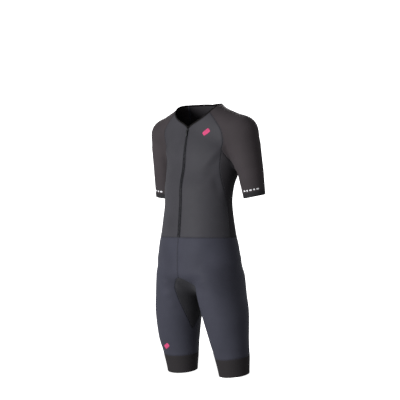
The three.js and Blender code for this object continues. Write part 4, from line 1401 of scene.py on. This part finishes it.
def shared_lines(s):
    """The seams between pieces of the left half that have a line of their own."""
    return [s.raglan_front, s.armhole_front, s.armhole_back, s.side, s.arch_front, s.arch_back]


def limb_ring(middle, axis, reach, steps):
    """A ring round the left arm or leg, square to it."""
    place = limb_frame(middle + axis * reach, axis)
    return cast_rows([place], [ring_ways(place, 0.0, steps)])[0]


def straight_seam(start, end):
    """A straight seam between two points, laid on the form."""
    return settle(start + (end - start) * np.linspace(0, 1, INNER_SEAM_STEPS)[:, None])


def centre_lines(s, short):
    """The shorts' centre seams in front and behind, cut short at the top and at the bottom."""
    top = WAIST_LEVEL - short[0]
    front_heights = np.linspace(top, s.arch_front[0, 2] + short[1], CENTRE_FRONT_STEPS)
    back_heights = np.linspace(top, s.arch_back[0, 2] + short[1], CENTRE_BACK_STEPS)
    return [beside_zip(0.0, front_heights), settle(trunk_point(math.pi, back_heights))]


def seam_lines():
    """Every seam of the suit as a line on the form."""
    s = seams()
    half = shared_lines(s)
    lines = half + [mirrored(line) for line in half]
    lines.append(s.waist(-math.pi, math.pi, WAIST_STEPS))
    lines += centre_lines(s, (0, 0))
    leg_hem, leg_up = HEM_FRAME[:2]
    tip = s.arch_front[-1]
    band_top = leg_hem + leg_up * LEG_BAND_DEPTH
    inner = cast(band_top, unit(tip - band_top) * np.array([1.0, 1.0, 0.0]))
    arm_length = float((s.underarm - SLEEVE_HEM) @ ARM_AXIS)
    arm_end = s.underarm - ARM_AXIS * (arm_length - SLEEVE_BAND_DEPTH)
    for line in (
        limb_ring(leg_hem, leg_up, LEG_BAND_DEPTH, RING_STEPS),
        limb_ring(SLEEVE_HEM, ARM_AXIS, SLEEVE_BAND_DEPTH, RING_STEPS),
        straight_seam(tip, inner),
        straight_seam(s.underarm, arm_end),
    ):
        lines += [line, mirrored(line)]
    return lines


class SUIT_OT_allowances(bpy.types.Operator):
    """Makes the seam allowances inside the suit and the guard behind the zip"""
    bl_idname = "suit.allowances"
    bl_label = "Seam allowances"

    def execute(self, context):
        inner = knit_material(
            "allowance_knit", colour("shorts"), 0.8, 0.05, 0.0012, 0.001, 0.5, crumple=0.0)
        thread = knit_material(
            "seam_thread", colour("front"), 0.7, 0.1, 0.0004, 0.0014, 0.6, crumple=0.0)
        dark = knit_material(
            "facing_knit", colour("binding"), 0.8, 0.05, 0.0012, 0.001, 0.5, crumple=0.0)
        bottom, top = zip_heights()
        guard_heights = np.linspace(bottom - GUARD_PAST_BOTTOM, top - GUARD_SHORT_OF_TOP, GUARD_STEPS)
        behind_zip = beside_zip(0.0, guard_heights)
        lines = seam_lines()
        for name, own, sizes, material, slot in (
            ("seam_allowances", lines, ALLOWANCE_STRIP, inner, "back_cloth"),
            ("seam_thread", lines, THREAD_STRIP, thread, "front_cloth"),
            ("neck_facing", [neckline()], FACING_STRIP, dark, "binding_cloth"),
            ("zip_guard", [behind_zip], GUARD_STRIP, inner, "zip_tape"),
        ):
            declare(merged(name, [strip(line, *sizes) for line in own], material), slot)
        return {"FINISHED"}


class SUIT_OT_stitching(bpy.types.Operator):
    """Makes the rows of stitches beside the seams"""
    bl_idname = "suit.stitching"
    bl_label = "Stitching"

    def execute(self, context):
        s = seams()
        rows = []
        for line in shared_lines(s):
            for away in (-SEAM_STITCHES, SEAM_STITCHES):
                rows.append(beside(line, away))
                rows.append(beside(mirrored(line), away))
        waist = s.waist(-math.pi, math.pi, WAIST_STEPS)
        rows += [beside(waist, away) for away in (-SEAM_STITCHES, SEAM_STITCHES)]
        for line in centre_lines(s, CENTRE_STITCHES_SHORT):
            rows += [beside(line, away) for away in (-CENTRE_STITCHES, CENTRE_STITCHES)]
        low = WAIST_LEVEL + ZIP_STITCHES_SHORT
        high = s.neck_front[0, 2] - ZIP_STITCHES_SHORT
        edge = beside_zip(ZIP_HALF_WIDTH, np.linspace(low, high, ZIP_STITCH_STEPS))
        rows += [beside(edge, -SEAM_STITCHES), beside(mirrored(edge), SEAM_STITCHES)]
        neck = neckline()
        rows.append(beside(neck, NECK_STITCHES, neck_inward(neck, outward(neck))))
        for side in (1, -1):
            rows += self.hem_rows(side)
        pitch = looks().stitch
        vertices, faces = stitch_rows(rows, pitch, pitch * STITCH_SHARE, STITCH_WIDTH, STITCH_PROUD)
        thread = hard_material("thread", colour("thread"), 0.75, 0.0, grain=0.6, gloss=0.03)
        made = new_object("stitching", vertices * MM, faces, thread)
        declare(made, "binding_cloth")
        return {"FINISHED"}

    def hem_rows(self, side):
        """Two rows above each hem band of one side."""
        rings = [
            limb_ring(HEM_FRAME[0], HEM_FRAME[1], LEG_BAND_DEPTH + away, RING_STEPS)
            for away in LEG_HEM_STITCHES
        ] + [
            limb_ring(SLEEVE_HEM, ARM_AXIS, SLEEVE_BAND_DEPTH + away, SLEEVE_RING_STEPS)
            for away in SLEEVE_HEM_STITCHES
        ]
        rows = [ring if side > 0 else mirrored(ring) for ring in rings]
        return [(row, outward(row)) for row in rows]


def printed(name, shapes, material, slot):
    """Thin print on the cloth: each shape is a middle, its way across, its half sizes and roundness."""
    vertices, faces = [], []
    rings, around = PRINT_RINGS, PRINT_ROUND
    turns = np.linspace(0, 2 * math.pi, around, endpoint=False)
    for middle, across, half_wide, half_tall, power in shapes:
        middle = settle(np.asarray(middle, dtype=float))
        normal = outward(middle)
        across = np.asarray(across, dtype=float)
        right = unit(across - normal * (across @ normal))
        up = np.cross(normal, right)
        c = rounded(np.cos(turns), power) * half_wide
        t = rounded(np.sin(turns), power) * half_tall
        flat = [middle[None]]
        for r in range(1, rings + 1):
            share = r / rings
            flat.append(middle + right * (c * share)[:, None] + up * (t * share)[:, None])
        flat = settle(np.vstack(flat))
        normals = outward(flat)
        top = flat + normals * (relief(flat) + PRINT_LIFT)[:, None]
        skirt = top[-around:] - normals[-around:] * PRINT_EDGE
        first = len(vertices)
        vertices.extend(np.vstack([top, skirt]))
        for j in range(around):
            k = (j + 1) % around
            faces.append([first, first + 1 + j, first + 1 + k])
            for r in range(rings):
                a = first + 1 + r * around
                b = a + around
                faces.append([a + j, b + j, b + k, a + k])
    made = new_object(name, np.array(vertices) * MM, faces, material)
    declare(made, slot)
    return made


class SUIT_OT_prints(bpy.types.Operator):
    """Prints plain bars on the chest and thigh and plain dashes above the sleeve hems"""
    bl_idname = "suit.prints"
    bl_label = "Prints"

    def execute(self, context):
        pink = hard_material("pink_print", colour("pink"), 0.7, 0.0, grain=0.3, gloss=0.05)
        printed("chest_bar", [CHEST_BAR], pink, "front_cloth")
        printed("thigh_bar", [THIGH_BAR], pink, "shorts_cloth")
        pale = hard_material("pale_print", colour("pale"), 0.7, 0.0, grain=0.3, gloss=0.05)
        printed("sleeve_dashes", self.dashes(), pale, "sleeve_cloth")
        return {"FINISHED"}

    def dashes(self):
        """A row of plain dashes round the front of each sleeve."""
        place = limb_frame(along_arm(SLEEVE_BAND_DEPTH + DASH_RISE), ARM_AXIS)
        shapes = []
        for side in (1, -1):
            flip = np.array([side, 1, 1])
            turn = DASH_START
            for width in DASH_HALF_WIDTHS:
                step = (width + DASH_HALF_GAP) / SLEEVE_RADIUS
                turn += step
                middle = cast(place[0], ways_round(place, np.array([turn]), [0.0]))[0]
                across = np.cross(ARM_AXIS, outward(middle))
                shapes.append((middle * flip, across * flip, width, DASH_HALF_TALL, DASH_ROUNDNESS))
                turn += step
        return shapes


class SUIT_OT_stage(bpy.types.Operator):
    """Makes the floor, the backdrop, the lights and the view"""
    bl_idname = "suit.stage"
    bl_label = "Stage"

    def execute(self, context):
        settings = context.scene.suit_stage
        self.sweep(settings)
        self.view(settings)
        self.lights(settings)
        return {"FINISHED"}

    def sweep(self, settings):
        """A round floor that bends up into a pale wall on every side."""
        floor = settings.floor
        profile = [(0.02, floor), (PAPER_REACH / 2, floor), (PAPER_REACH, floor)]
        for turn in np.linspace(0, math.pi / 2, 13):
            rise = PAPER_BEND * (1 - math.cos(turn))
            profile.append((PAPER_REACH + PAPER_BEND * math.sin(turn), floor + rise))
        profile.append((PAPER_REACH + PAPER_BEND, floor + PAPER_WALL))
        around = 64
        turns = np.linspace(0, 2 * math.pi, around, endpoint=False)
        vertices = []
        for reach, height in profile:
            vertices += [(reach * math.cos(t), reach * math.sin(t), height) for t in turns]
        faces = ring_faces(len(profile), around) + [list(range(around))[::-1]]
        paper = plain_material("studio_paper", (0.7, 0.7, 0.7), 0.9, PAPER_GLOW)
        made = new_object("studio_floor", np.array(vertices), faces, paper)
        made.visible_diffuse = False
        made.visible_glossy = False
        made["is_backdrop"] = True

    def view(self, settings):
        """The level view of the suit's front and left side."""
        toward = Vector((math.sin(settings.azimuth), -math.cos(settings.azimuth), 0))
        right = Vector((math.cos(settings.azimuth), math.sin(settings.azimuth), 0))
        camera = bpy.data.objects.new("view", bpy.data.cameras.new("view"))
        bpy.context.scene.collection.objects.link(camera)
        camera.data.angle = settings.field
        camera.data.clip_end = 60
        camera.location = toward * settings.distance + right * settings.sideways
        camera.location.z = settings.view_height
        camera.rotation_euler = (math.pi / 2, 0, settings.azimuth)
        bpy.context.scene.camera = camera

    def lights(self, settings):
        """Light from all round and two soft lamps."""
        world = bpy.data.worlds.new("studio")
        bpy.context.scene.world = world
        world.use_nodes = True
        background = world.node_tree.nodes["Background"]
        background.inputs["Color"].default_value = (1.0, 1.0, 1.0, 1)
        background.inputs["Strength"].default_value = SKY_STRENGTH
        for name, (turn, *sizes) in LAMPS.items():
            self.area(name, settings.azimuth + math.radians(turn), *sizes)
        shown = bpy.context.scene.view_settings
        shown.view_transform = "Standard"
        shown.look = "None"

    def area(self, name, azimuth, distance, height, size, power):
        """A round soft lamp that faces the suit."""
        lamp = bpy.data.lights.new(name, "AREA")
        lamp.shape = "DISK"
        lamp.size = size
        lamp.energy = power
        made = bpy.data.objects.new(name, lamp)
        bpy.context.scene.collection.objects.link(made)
        made.location = (distance * math.sin(azimuth), -distance * math.cos(azimuth), height)
        aim = LAMP_AIM - made.location
        made.rotation_euler = aim.to_track_quat("-Z", "Y").to_euler()


class SUIT_PT_panel(bpy.types.Panel):
    """Sizes, colours and the steps that dress the suit"""
    bl_label = "Triathlon suit"
    bl_idname = "SUIT_PT_panel"
    bl_space_type = "VIEW_3D"
    bl_region_type = "UI"
    bl_category = "Suit"

    def draw(self, context):
        layout = self.layout
        for group in (context.scene.suit_looks, context.scene.suit_stage):
            box = layout.box()
            for name in group.__annotations__:
                box.prop(group, name)
        for operator in OPERATORS:
            layout.operator(operator.bl_idname)


OPERATORS = (
    SUIT_OT_fronts, SUIT_OT_back, SUIT_OT_sleeves, SUIT_OT_shorts, SUIT_OT_binding, SUIT_OT_zip,
    SUIT_OT_slider, SUIT_OT_allowances, SUIT_OT_stitching, SUIT_OT_prints, SUIT_OT_stage,
)
CLASSES = (SuitLooks, StageSettings) + OPERATORS + (SUIT_PT_panel,)


def register():
    """Registers the classes and their settings."""
    for each in CLASSES:
        bpy.utils.register_class(each)
    bpy.types.Scene.suit_looks = bpy.props.PointerProperty(type=SuitLooks)
    bpy.types.Scene.suit_stage = bpy.props.PointerProperty(type=StageSettings)


def unregister():
    """Takes the classes and their settings away again."""
    del bpy.types.Scene.suit_stage
    del bpy.types.Scene.suit_looks
    for each in reversed(CLASSES):
        bpy.utils.unregister_class(each)


def corners():
    """The lowest and highest corner of everything shown."""
    low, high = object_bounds()
    return [[float(v) for v in low], [float(v) for v in high]]


def main():
    """Dresses the suit."""
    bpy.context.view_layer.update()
    register()
    bpy.ops.suit.fronts()
    bpy.ops.suit.back()
    bpy.ops.suit.sleeves()
    bpy.ops.suit.shorts()
    bpy.ops.suit.binding()
    bpy.ops.suit.zip()
    bpy.ops.suit.slider()
    bpy.ops.suit.allowances()
    bpy.ops.suit.stitching()
    bpy.ops.suit.prints()
    bpy.ops.suit.stage()


if __name__ == "__main__":
    main()
